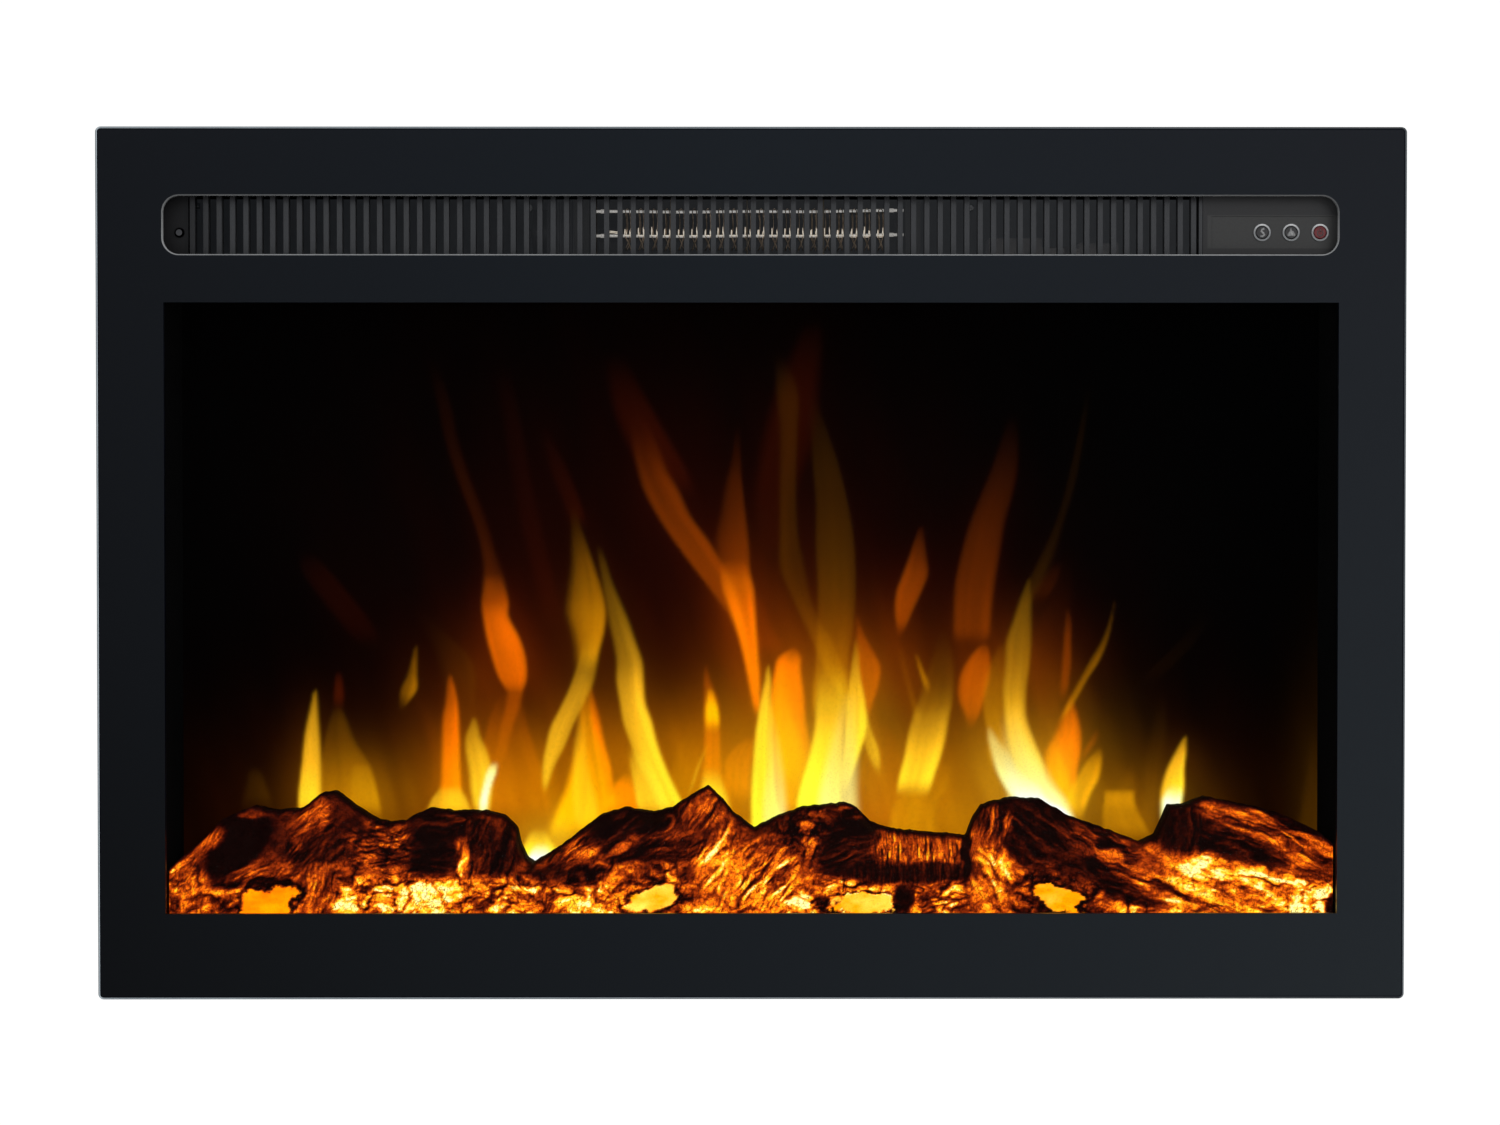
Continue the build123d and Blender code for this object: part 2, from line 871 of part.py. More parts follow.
def rod_heights():
    """Heights of the two rods, which sit a little above the slot's middle."""
    middle = slot_middle + rod_rise
    return middle - rod_spacing / 2, middle + rod_spacing / 2


def wire_depths(bank):
    """Front and back of one bank of wires."""
    front = duct_front + wire_setback + bank * wire_bank_spacing
    return front, front + wire_thickness


def wire_heights():
    """Lowest and highest point of the wires, which rest in the cards' windows."""
    reach = rod_spacing / 2 + wire_reach
    return slot_middle - reach, slot_middle + reach


def card_places():
    """Centres of the mica cards along X, spread evenly over the heated length."""
    gap = (heater_length - card_thickness) / (card_count - 1)
    first = heater_offset - heater_length / 2 + card_thickness / 2
    return [first + index * gap for index in range(card_count)]


def make_mica_cards():
    """Upright cards with holes for the rods and windows for the wires."""
    cards = []
    depths = (duct_front + card_setback, duct_front + card_setback + card_depth)
    for x in card_places():
        span = (x - card_thickness / 2, x + card_thickness / 2)
        card = block(span, depths, duct_heights(0))
        wide = (span[0] - 1, span[1] + 1)
        for z in rod_heights():
            card -= rod_x(rod_radius, wide, rod_depth, z)
        for bank in (0, 1):
            front, back = wire_depths(bank)
            card -= block(wide, (front - wire_clearance, back + wire_clearance), wire_heights())
        cards.append(card)
    return Compound(children=cards)


def make_heater_rods():
    span = (duct_left + rod_end_gap, duct_right - rod_end_gap)
    return Compound(children=[rod_x(rod_radius, span, rod_depth, z) for z in rod_heights()])


def make_heater_wires():
    """Two banks of wire folded into upright loops."""
    low, high = wire_heights()
    count = int(heater_length / wire_pitch)
    first = heater_offset - (count - 1) * wire_pitch / 2
    banks = []
    for bank in (0, 1):
        depths = wire_depths(bank)
        pieces = []
        for index in range(count):
            middle = first + index * wire_pitch
            left = middle - wire_loop_width / 2
            right = middle + wire_loop_width / 2
            pieces.append(block((left, left + wire_width), depths, (low, high)))
            pieces.append(block((right - wire_width, right), depths, (low, high)))
            pieces.append(block((left, right), depths, (low, low + wire_width)))
            if index < count - 1:
                bridge = (right - wire_width, left + wire_pitch + wire_width)
                pieces.append(block(bridge, depths, (high - wire_width, high)))
        banks.append(pieces[0] + pieces[1:])
    return Compound(children=banks)


def make_thermal_cutouts():
    """Two disc thermostats with spade terminals on top of the duct."""
    seat = duct_heights(duct_sheet)[1]
    cutouts = []
    for side in (-1, 1):
        x = heater_offset + side * heater_length / 4
        y = (duct_front + duct_back) / 2
        body = rod_z(cutout_radius, (seat, seat + cutout_height * 0.4), x, y)
        body += rod_z(cutout_radius * 0.75, (seat, seat + cutout_height), x, y)
        for tab in (-1, 1):
            reach = sorted((x + tab * cutout_radius * 0.5, x + tab * cutout_radius * 1.6))
            body += block(reach, (y - 2.4, y + 2.4), (seat + cutout_height * 0.6, seat + cutout_height * 0.7))
        cutouts.append(body)
    return Compound(children=cutouts)


# ---------------------------------------------------------------- blower
def make_blower_scroll():
    """Sheet scroll lapped under the duct, with its tongue and two end plates."""
    low, high = duct_heights(duct_sheet)
    span = (duct_left - duct_sheet, duct_right + duct_sheet)
    outer = scroll_radius + scroll_sheet
    around = (blower_depth, blower_depth + outer)
    guide = rod_x(outer, span, blower_depth, blower_height)
    guide -= rod_x(scroll_radius, (span[0] - 1, span[1] + 1), blower_depth, blower_height)
    guide &= block(span, around, (blower_height - outer, blower_height + scroll_radius * 0.6))
    lap = duct_back - scroll_lap
    guide += block(span, (lap, blower_depth), (low - scroll_sheet, low))
    tongue = block(span, (lap, duct_back + scroll_tongue), (high, high + scroll_sheet))
    curl = duct_back + scroll_tongue
    tongue += block(span, (curl - scroll_sheet, curl), (high - scroll_tongue_drop, high + scroll_sheet))
    ends = []
    profile_low = low - scroll_sheet
    for edge, side in ((span[0], -1), (span[1], 1)):
        thick = sorted((edge, edge + side * scroll_sheet))
        plate = block(thick, (lap, blower_depth), (profile_low, high + scroll_sheet))
        plate += rod_x(outer, thick, blower_depth, blower_height)
        bore = bush_radius if side > 0 else blower_shaft_radius + shaft_hole_gap
        plate -= rod_x(bore, (thick[0] - 1, thick[1] + 1), blower_depth, blower_height)
        ends.append(plate)
    return guide + tongue + ends


def impeller_span():
    return duct_left + blower_end_gap, duct_right - blower_end_gap


def make_blade_outline(start):
    """One blade's section: a strip bent at its middle radius, seen along the shaft."""
    stations = []
    radii = (impeller_hub_radius, (impeller_hub_radius + impeller_radius) / 2, impeller_radius - blade_inset)
    for radius, share in zip(radii, (0.0, 0.65, 1.0)):
        stations.append((radius, math.radians(start + share * blade_lean)))
    front = [(r * math.cos(a), r * math.sin(a)) for r, a in stations]
    half = blade_thickness
    back = [(r * math.cos(a + half / r), r * math.sin(a + half / r)) for r, a in reversed(stations)]
    return front + back


def make_blower_impeller():
    """Cross-flow impeller: discs joined by a ring of forward-curved blades."""
    left, right = impeller_span()
    wheel = []
    for index in range(impeller_discs):
        x = left + index * (right - left - impeller_disc) / (impeller_discs - 1)
        wheel.append(rod_x(impeller_radius, (x, x + impeller_disc), blower_depth, blower_height))
    for index in range(impeller_blades):
        points = make_blade_outline(index * 360 / impeller_blades)
        section = Plane.YZ * make_face(Polyline(*points, close=True))
        blade = extrude(section, amount=right - left)
        wheel.append(Pos(left, blower_depth, blower_height) * blade)
    for hub in ((left, left + blower_hub_length), (right - blower_hub_length, right)):
        wheel.append(rod_x(blower_hub_radius, hub, blower_depth, blower_height))
    solid = wheel[0] + wheel[1:]
    return solid - rod_x(blower_shaft_radius, (left - 1, right + 1), blower_depth, blower_height)


def motor_span():
    """The motor's laminated stack along X, left of the scroll."""
    right = duct_left - duct_sheet - scroll_sheet - motor_bell_depth
    return right - stack_thickness, right


def make_blower_shaft():
    left = motor_span()[0] - motor_bell_depth - shaft_stub
    right = duct_right + duct_sheet + scroll_sheet + shaft_stub
    return rod_x(blower_shaft_radius, (left, right), blower_depth, blower_height)


def make_motor_rotor():
    left, right = motor_span()
    rotor = rod_x(rotor_radius, (left, right), blower_depth, blower_height)
    return rotor - rod_x(blower_shaft_radius, (left - 1, right + 1), blower_depth, blower_height)


def leg_depths():
    """Front and back of the stack's outer leg, which the coil is wound on."""
    back = blower_depth - stack_height / 2 + stack_length
    return back - stack_leg, back


def make_motor_stack():
    """C-frame lamination stack with the rotor's bore and a window for the coil."""
    left, right = motor_span()
    leg_front, leg_back = leg_depths()
    half = stack_height / 2
    heights = (blower_height - half, blower_height + half)
    stack = block((left, right), (blower_depth - half, leg_back), heights)
    through = (left - 1, right + 1)
    stack -= rod_x(rotor_radius + rotor_gap, through, blower_depth, blower_height)
    window_front = blower_depth + rotor_radius + rotor_gap + stack_bridge
    inner = half - stack_leg * 0.8
    stack -= block(through, (window_front, leg_front), (blower_height - inner, blower_height + inner))
    return stack


def make_motor_coil():
    """Coil wound round the stack's outer leg."""
    left, right = motor_span()
    leg_front, leg_back = leg_depths()
    half = stack_height / 2 - stack_leg * 0.8 - coil_end_gap
    heights = (blower_height - half, blower_height + half)
    coil = block(
        (left - coil_thickness, right + coil_thickness),
        (leg_front - coil_thickness, leg_back + coil_thickness),
        heights,
    )
    return coil - block((left, right), (leg_front, leg_back), (heights[0] - 1, heights[1] + 1))


def make_motor_brackets():
    """Two bell-shaped bearing bridges, one on each side of the stack."""
    left, right = motor_span()
    outer = rotor_radius + rotor_gap + motor_bell_wall
    bells = []
    for face, side in ((left, -1), (right, 1)):
        span = sorted((face, face + side * motor_bell_depth))
        hollow = sorted((face - side, face + side * (motor_bell_depth - motor_bell_wall)))
        bell = rod_x(outer, span, blower_depth, blower_height)
        bell -= rod_x(outer - motor_bell_wall, hollow, blower_depth, blower_height)
        bore = blower_shaft_radius + running_clearance
        bell -= rod_x(bore, (span[0] - 1, span[1] + 1), blower_depth, blower_height)
        bells.append(bell)
    return Compound(children=bells)


def make_blower_bush():
    right = duct_right + duct_sheet
    span = (right, right + scroll_sheet)
    bush = rod_x(bush_radius, span, blower_depth, blower_height)
    bush += rod_x(bush_radius + 1.5, (span[1], span[1] + 2.0), blower_depth, blower_height)
    bore = blower_shaft_radius + running_clearance
    return bush - rod_x(bore, (span[0] - 1, span[1] + 3), blower_depth, blower_height)


# ---------------------------------------------------------------- firebox
def firebox_side(side):
    """Side sheet of the firebox with lips that stand it off the casing wall."""
    heights = (casing_sheet, shelf_bottom)
    front = wall_face + fit_gap
    sheet = sorted((side * side_inner, side * (side_inner + side_sheet)))
    stand_off = sorted((side * side_inner, side * inner_half))
    panel = block(sheet, (front, screen_front), heights)
    panel += block(stand_off, (front, front + side_sheet), heights)
    return panel + block(stand_off, (screen_front - side_sheet, screen_front), heights)


def make_flame_screen():
    """Translucent sheet that stands on the casing's base behind the logs."""
    half = inner_half - fit_gap
    return block((-half, half), (screen_front, screen_back), (casing_sheet, shelf_bottom - fit_gap))


def flame_opening(width, height, lean):
    """A flame-shaped cut-out: two bowed sides that meet in a leaning tip."""
    base = Line((width / 2, 0), (-width / 2, 0))
    left = ThreePointArc((-width / 2, 0), (-width * 0.45 + lean * 0.1, height * 0.45), (lean, height))
    right = ThreePointArc((lean, height), (width * 0.3 + lean * 0.4, height * 0.45), (width / 2, 0))
    return make_face(base + left + right)


def make_flame_template():
    """Sheet with flame cut-outs, folded forward at both sides to hold the screen."""
    front = template_front
    back = front + template_sheet
    template = block((-inner_half, inner_half), (front, back), (casing_sheet, template_height))
    pitch = 2 * (inner_half - template_border) / template_flames
    for index in range(template_flames):
        x = -inner_half + template_border + (index + 0.5) * pitch
        height = (template_height - template_base) * (0.62 + 0.24 * math.sin(2.1 * index))
        lean = pitch * 0.35 * math.cos(1.7 * index)
        shape = Plane.XZ * flame_opening(pitch * 0.62, height, lean)
        template -= Pos(x, back + 1, template_base) * extrude(shape, amount=template_sheet + 2)
    heights = (casing_sheet, template_height)
    for side in (-1, 1):
        fold = sorted((side * (inner_half - template_sheet), side * inner_half))
        lip = sorted((side * (inner_half - template_lip), side * inner_half))
        template += block(fold, (screen_back, front), heights)
        template += block(lip, (screen_back, screen_back + template_sheet), heights)
    return template


# ---------------------------------------------------------------- flame spindle
def spindle_ends():
    """Inner faces of the motor bracket and of the far bracket."""
    return -inner_half + spindle_end_gap, inner_half - spindle_end_gap


def bearing_bracket(span, foot_direction, bore):
    """Upright sheet on a foot, with a round hole on the spindle's axis."""
    low, high = span
    half = spindle_motor_radius
    depths = (spindle_depth - half, spindle_depth + half)
    upright = block(span, depths, (casing_sheet, spindle_height))
    upright += rod_x(half, span, spindle_depth, spindle_height)
    foot = (low, high + bracket_foot) if foot_direction > 0 else (low - bracket_foot, high)
    upright += block(foot, depths, (casing_sheet, casing_sheet + bracket_sheet))
    return upright - rod_x(bore, (low - 1, high + 1), spindle_depth, spindle_height)


def make_spindle_motor_bracket():
    left, _ = spindle_ends()
    return bearing_bracket((left - bracket_sheet, left), 1, coupling_stub_radius + running_gap)


def make_spindle_bracket():
    _, right = spindle_ends()
    return bearing_bracket((right, right + bracket_sheet), -1, spindle_bush_radius)


def make_spindle_motor():
    """Flat synchronous gear motor with a round case and a bored output."""
    left, _ = spindle_ends()
    face = left - bracket_sheet
    case = rod_x(spindle_motor_radius - 1, (face - spindle_motor_depth, face), spindle_depth, spindle_height)
    case += rod_x(
        spindle_motor_radius * 0.5,
        (face - spindle_motor_depth - 4, face - spindle_motor_depth),
        spindle_depth,
        spindle_height,
    )
    bore = coupling_stub_radius + running_clearance
    return case - rod_x(bore, (face - coupling_stub_length, face + 1), spindle_depth, spindle_height)


def make_spindle_coupling():
    """Sleeve that joins the rod to the motor, with a stub into the motor's output."""
    left, _ = spindle_ends()
    start = left + spindle_side_gap
    sleeve = rod_x(coupling_radius, (start, start + coupling_length), spindle_depth, spindle_height)
    stub_start = left - bracket_sheet - coupling_stub_length + 1
    sleeve += rod_x(coupling_stub_radius, (stub_start, start), spindle_depth, spindle_height)
    bore = (start + coupling_length / 2, start + coupling_length + 1)
    return sleeve - rod_x(spindle_radius, bore, spindle_depth, spindle_height)


def make_spindle_rod():
    """Square bar whose ends are turned round for the coupling and the bush."""
    left, right = spindle_ends()
    start = left + spindle_side_gap + coupling_length / 2
    end = right + bracket_sheet + spindle_side_gap
    bar = bar_span()
    rod = rod_x(spindle_radius, (start, bar[0]), spindle_depth, spindle_height)
    rod += rod_x(spindle_radius, (bar[1], end), spindle_depth, spindle_height)
    half = bar_width / 2
    square = (spindle_height - half, spindle_height + half)
    return rod + block(bar, (spindle_depth - half, spindle_depth + half), square)


def bar_span():
    """The square stretch between the coupling and the far bracket."""
    left, right = spindle_ends()
    return left + spindle_side_gap + coupling_length + spindle_side_gap, right - spindle_side_gap


def make_spindle_bush():
    _, right = spindle_ends()
    span = (right, right + bracket_sheet)
    bush = rod_x(spindle_bush_radius, span, spindle_depth, spindle_height)
    bush += rod_x(spindle_bush_radius + 1.5, (span[1], span[1] + 2), spindle_depth, spindle_height)
    bore = spindle_radius + running_clearance
    return bush - rod_x(bore, (span[0] - 1, span[1] + 3), spindle_depth, spindle_height)


def make_spindle_reflectors():
    """Bent bright strips crimped on the bar, each turned further than the last."""
    start, end = bar_span()
    pitch = (end - start) / reflector_count
    half = min(reflector_length, pitch * 0.9) / 2
    core = bar_width / 2
    crimp = core + reflector_thickness
    leaf_thickness = (-reflector_thickness / 2, reflector_thickness / 2)
    leaf = block((-half, half), (0, reflector_radius), leaf_thickness)
    bar = block((-half - 1, half + 1), (-core, core), (-core, core))
    strips = []
    for index in range(reflector_count):
        middle = start + (index + 0.5) * pitch
        turn = index * reflector_turn
        strip = block((-half, half), (-crimp, crimp), (-crimp, crimp))
        strip += [Rot(turn, 0, 0) * leaf, Rot(turn + reflector_bend, 0, 0) * leaf]
        strips.append(Pos(middle, spindle_depth, spindle_height) * (strip - bar))
    return Compound(children=strips)


# ---------------------------------------------------------------- flame light
def heatsink_span():
    left, right = spindle_ends()
    return left + heatsink_end_gap, right - heatsink_end_gap


def make_led_heatsink():
    """Aluminium angle that stands on the base and carries the flame light."""
    span = heatsink_span()
    foot = (heatsink_front, heatsink_front + heatsink_foot)
    angle = block(span, (heatsink_front, heatsink_front + heatsink_sheet), (casing_sheet, heatsink_height))
    return angle + block(span, foot, (casing_sheet, casing_sheet + heatsink_sheet))


def make_flame_led_board():
    half = led_board_height / 2
    heights = (spindle_height - half, spindle_height + half)
    return block(heatsink_span(), (heatsink_front - board_thickness, heatsink_front), heights)


def led_places(span):
    """Evenly pitched places along a strip, as far as they fit."""
    left, right = span
    count = int((right - left - led_size) / led_pitch) + 1
    first = (left + right) / 2 - (count - 1) * led_pitch / 2
    return [first + index * led_pitch for index in range(count)]


def make_flame_leds():
    half = led_size / 2
    back = heatsink_front - board_thickness
    heights = (spindle_height - half, spindle_height + half)
    leds = []
    for x in led_places(heatsink_span()):
        leds.append(block((x - half, x + half), (back - led_thickness, back), heights))
    return Compound(children=leds)


# ---------------------------------------------------------------- log tray and ember light
def make_log_tray():
    """Folded tray on two down-turned legs."""
    half = side_inner - fit_gap
    front, back = tray_depths()
    tray = block((-half, half), (front, back), (tray_height, tray_top))
    tray += block((-half, half), (front, front + tray_sheet), (casing_sheet, tray_top))
    return tray + block((-half, half), (back - tray_sheet, back), (casing_sheet, tray_top))


def tray_depths():
    front = wall_face + fit_gap + side_sheet + fit_gap
    return front, screen_front - side_sheet - fit_gap


def log_depths():
    """Front and back of the log set."""
    return wall_face + log_front_gap, screen_front - log_back_gap


def cavity_depths():
    front, back = log_depths()
    return front + log_wall, back - log_wall


def ember_span():
    half = side_inner - log_end_gap - log_wall - ember_board_end_gap
    return -half, half


def make_ember_led_board():
    front, back = cavity_depths()
    middle = (front + back) / 2
    half = ember_board_width / 2
    return block(ember_span(), (middle - half, middle + half), (tray_top, tray_top + board_thickness))


def make_ember_leds():
    front, back = cavity_depths()
    middle = (front + back) / 2
    half = led_size / 2
    low = tray_top + board_thickness
    leds = []
    for x in led_places(ember_span()):
        leds.append(block((x - half, x + half), (middle - half, middle + half), (low, low + led_thickness)))
    return Compound(children=leds)


def make_ember_diffuser():
    """Translucent strip standing just behind the log set's front wall."""
    front = cavity_depths()[0] + diffuser_gap
    heights = (tray_top, tray_top + bed_front_height + diffuser_rise)
    return block(ember_span(), (front, front + diffuser_thickness), heights)


def log_station(share, depth_share, height, radius, turn):
    """One many-sided ring of a log, at a share of the set's length and depth."""
    front, back = log_depths()
    half = side_inner - log_end_gap
    x = -half + 2 * half * share
    y = front + (back - front) * depth_share
    return (x, y, tray_top + height, radius, turn)


def make_log(stations):
    """A log lofted through rings that face along its run."""
    rings = []
    for index, (x, y, z, radius, turn) in enumerate(stations):
        before = stations[max(index - 1, 0)]
        after = stations[min(index + 1, len(stations) - 1)]
        along = Vector(after[0] - before[0], after[1] - before[1], after[2] - before[2])
        plane = Plane(origin=(x, y, z), x_dir=Vector(0, 1, 0), z_dir=along)
        rings.append(plane * Rot(0, 0, turn) * RegularPolygon(radius, log_sides))
    return loft(Sketch() + rings, ruled=True)


# Each log: rings at (share of length, share of depth, height above the tray, radius, turn)
log_runs = {
    "left_branch": [
        (0.0, 0.35, 20, 14, 0),
        (0.05, 0.38, 41, 20, 8),
        (0.1, 0.42, 45, 21, 15),
        (0.17, 0.5, 40, 20, 20),
    ],
    "left_knuckle": [
        (0.115, 0.5, 36, 27, 0),
        (0.13, 0.5, 58, 18, 10),
        (0.138, 0.5, 75, 6, 20),
    ],
    "left_log": [
        (0.16, 0.6, 38, 20, 0),
        (0.2, 0.55, 42, 21, 9),
        (0.25, 0.55, 43, 22, 18),
        (0.28, 0.5, 41, 21, 27),
        (0.3, 0.5, 36, 14, 27),
    ],
    "middle_log": [
        (0.31, 0.55, 24, 13, 0),
        (0.355, 0.55, 38, 19, 9),
        (0.4, 0.5, 44, 22, 18),
        (0.45, 0.5, 46, 22, 27),
        (0.51, 0.55, 34, 21, 36),
    ],
    "middle_knuckle": [
        (0.455, 0.5, 44, 27, 0),
        (0.46, 0.5, 64, 15, 10),
        (0.463, 0.5, 79, 5, 20),
    ],
    "centre_log": [
        (0.5, 0.55, 36, 19, 0),
        (0.54, 0.5, 44, 22, 9),
        (0.58, 0.5, 47, 22, 18),
        (0.61, 0.48, 38, 20, 27),
        (0.685, 0.45, 31, 19, 36),
    ],
    "right_log": [
        (0.69, 0.5, 46, 21, 0),
        (0.73, 0.45, 50, 22, 9),
        (0.8, 0.38, 37, 19, 18),
        (0.9, 0.3, 26, 17, 27),
        (0.995, 0.25, 16, 15, 36),
    ],
    "back_log": [
        (0.865, 0.7, 45, 23, 0),
        (0.9, 0.68, 50, 23, 9),
        (0.95, 0.65, 43, 22, 18),
        (1.0, 0.62, 30, 19, 27),
    ],
}

# Each knot hole: (share of length, width, height)
knot_holes = [(0.09, 29, 14), (0.418, 32, 13), (0.594, 45, 13), (0.762, 29, 18)]


def make_log_set():
    """Moulded log set: an ember bed with logs on it, hollow below, with knot holes."""
    front, back = log_depths()
    half = side_inner - log_end_gap
    low = tray_top
    bed_outline = [
        (front, low),
        (front, low + bed_front_height),
        (front + bed_slope_depth, low + bed_top_height),
        (back, low + bed_top_height),
        (back, low),
    ]
    bed = extrude(Plane.YZ * make_face(Polyline(*bed_outline, close=True)), amount=2 * half)
    body = Pos(-half, 0, 0) * bed
    logs = [make_log([log_station(*ring) for ring in rings]) for rings in log_runs.values()]
    body += logs
    body &= block((-half, half), (front, back), (low, low + 2 * window_height))
    cavity_front, cavity_back = cavity_depths()
    cavity_top = low + bed_front_height + diffuser_rise + diffuser_gap
    body -= block(
        (-half + log_wall, half - log_wall),
        (cavity_front, cavity_back),
        (low - 1, cavity_top),
    )
    for share, width, height in knot_holes:
        x = -half + 2 * half * share
        hole = plate_xz(width, height, height * 0.48, (front - 1, cavity_front + 1), low + knot_hole_rise, x)
        body -= hole
    return body


# ---------------------------------------------------------------- power electronics
def power_corner():
    """Left front corner of the power board on the shelf."""
    left = duct_right + duct_sheet + scroll_sheet + power_board_gap
    return left, casing_front + power_board_setback


def make_power_board():
    x, y = power_corner()
    low = shelf_top + standoff_height
    return block((x, x + power_board_width), (y, y + power_board_depth), (low, low + board_thickness))


def make_board_standoffs():
    x, y = power_corner()
    posts = []
    for px in (x + standoff_inset, x + power_board_width - standoff_inset):
        for py in (y + standoff_inset, y + power_board_depth - standoff_inset):
            posts.append(rod_z(standoff_radius, (shelf_top, shelf_top + standoff_height), px, py))
    return Compound(children=posts)


def make_board_components():
    """Relays, transformer, capacitor and triac heatsink on the power board."""
    x, y = power_corner()
    low = shelf_top + standoff_height + board_thickness
    row = y + board_edge
    relays = []
    for index in range(relay_count):
        left = x + board_edge + index * (relay_width + board_part_gap)
        relays.append(block((left, left + relay_width), (row, row + relay_depth), (low, low + relay_height)))
    back = y + power_board_depth - board_edge
    left = x + board_edge
    depths = (back - transformer_depth, back)
    transformer = block((left, left + transformer_width), depths, (low, low + transformer_height))
    left += transformer_width + board_part_gap + capacitor_radius
    capacitor = rod_z(capacitor_radius, (low, low + capacitor_height), left, back - capacitor_radius)
    left += capacitor_radius + board_part_gap
    right = left + fin_pitch * (fin_count - 1) + fin_thickness
    top = low + fin_height
    fins = block((left, right), (back - fin_depth, back - fin_depth + fin_thickness), (low, top))
    for index in range(fin_count):
        fin = left + index * fin_pitch
        fins += block((fin, fin + fin_thickness), (back - fin_depth, back), (low, top))
    return Compound(children=relays + [transformer, capacitor, fins])


def make_terminal_block():
    """Three-pole block with square wire entries and round clamp screw wells."""
    x, y = power_corner()
    right = x + power_board_width + terminal_gap
    front = y + power_board_depth + terminal_gap
    back = front + terminal_depth
    left = right - terminal_pitch * terminal_poles
    top = shelf_top + terminal_height
    body = block((left, right), (front, back), (shelf_top, top))
    entry = shelf_top + terminal_height * 0.4
    half = terminal_entry / 2
    for index in range(terminal_poles):
        middle = left + (index + 0.5) * terminal_pitch
        body -= block((middle - half, middle + half), (front - 1, back + 1), (entry - half, entry + half))
        body -= rod_z(half, (entry, top + 1), middle, (front + back) / 2)
    return body


def make_earth_stud():
    """Threaded stud with a nut, standing on the shelf."""
    x, y = power_corner()
    stud_x = x + power_board_width + 2 * terminal_gap
    stud_y = y + power_board_depth
    stud = rod_z(earth_stud_radius, (shelf_top, shelf_top + earth_stud_height), stud_x, stud_y)
    nut = extrude(RegularPolygon(earth_nut_radius, 6), amount=earth_nut_height)
    return stud + Pos(stud_x, stud_y, shelf_top) * nut


def make_cord_gland():
    """Cord gland through the right side wall, with its inside nut."""
    y = casing_back - gland_from_back
    z = slot_middle
    barrel = gland_bore_radius + gland_wall
    gland = rod_x(barrel, (inner_half - gland_nut_thickness, half_casing), y, z)
    gland += rod_x(gland_flange_radius, (half_casing, half_casing + gland_flange_thickness), y, z)
    nut = extrude(Plane.YZ * RegularPolygon(gland_nut_radius, 6), amount=gland_nut_thickness)
    gland += Pos(inner_half - gland_nut_thickness, y, z) * nut
    through = (inner_half - gland_nut_thickness - 1, half_casing + gland_flange_thickness + 1)
    return gland - rod_x(gland_bore_radius, through, y, z)


# ---------------------------------------------------------------- the whole assembly
def make_parts():
    """Every piece of the fireplace by its node's name."""
    names = {
        "front_glass": make_front_glass(),
        "glass_tape": make_glass_tape(),
        "front_frame": make_front_frame(),
        "hanging_studs": make_hanging_studs(),
        "casing_base": make_casing_base(),
        "casing_side_left": casing_side(-1),
        "casing_side_right": casing_side(1),
        "casing_top": make_casing_top(),
        "back_panel": make_back_panel(),
        "casing_screws": make_casing_screws(),
        "plenum_shelf": make_plenum_shelf(),
        "outlet_grille": make_outlet_grille(),
        "grille_screws": make_grille_screws(),
        "control_fascia": make_control_fascia(),
        "button_bezels": make_button_bezels(),
        "control_board": make_control_board(),
        "touch_switches": make_touch_switches(),
        "remote_receiver": make_remote_receiver(),
        "heater_duct": make_heater_duct(),
        "mica_cards": make_mica_cards(),
        "heater_rods": make_heater_rods(),
        "heater_wires": make_heater_wires(),
        "thermal_cutouts": make_thermal_cutouts(),
        "blower_scroll": make_blower_scroll(),
        "blower_impeller": make_blower_impeller(),
        "blower_shaft": make_blower_shaft(),
        "motor_rotor": make_motor_rotor(),
        "motor_stack": make_motor_stack(),
        "motor_coil": make_motor_coil(),
        "motor_brackets": make_motor_brackets(),
        "blower_bush": make_blower_bush(),
        "firebox_side_left": firebox_side(-1),
        "firebox_side_right": firebox_side(1),
        "flame_screen": make_flame_screen(),
        "flame_template": make_flame_template(),
        "spindle_rod": make_spindle_rod(),
        "spindle_reflectors": make_spindle_reflectors(),
        "spindle_coupling": make_spindle_coupling(),
        "spindle_motor": make_spindle_motor(),
        "spindle_motor_bracket": make_spindle_motor_bracket(),
        "spindle_bracket": make_spindle_bracket(),
        "spindle_bush": make_spindle_bush(),
        "led_heatsink": make_led_heatsink(),
        "flame_led_board": make_flame_led_board(),
        "flame_leds": make_flame_leds(),
        "log_tray": make_log_tray(),
        "log_set": make_log_set(),
        "ember_diffuser": make_ember_diffuser(),
        "ember_led_board": make_ember_led_board(),
        "ember_leds": make_ember_leds(),
        "power_board": make_power_board(),
        "board_components": make_board_components(),
        "board_standoffs": make_board_standoffs(),
        "terminal_block": make_terminal_block(),
        "earth_stud": make_earth_stud(),
        "cord_gland": make_cord_gland(),
    }
    for name, x in zip(("button_heat", "button_flame", "button_power"), button_places()):
        names[name] = make_button(x)
    return names


os.makedirs("parts", exist_ok=True)
for node, shape in make_parts().items():
    export_step(shape, f"parts/{node}.step")
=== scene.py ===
"""Looks for a recessed electric fireplace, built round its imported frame, in metres unless named mm."""

import math
import random

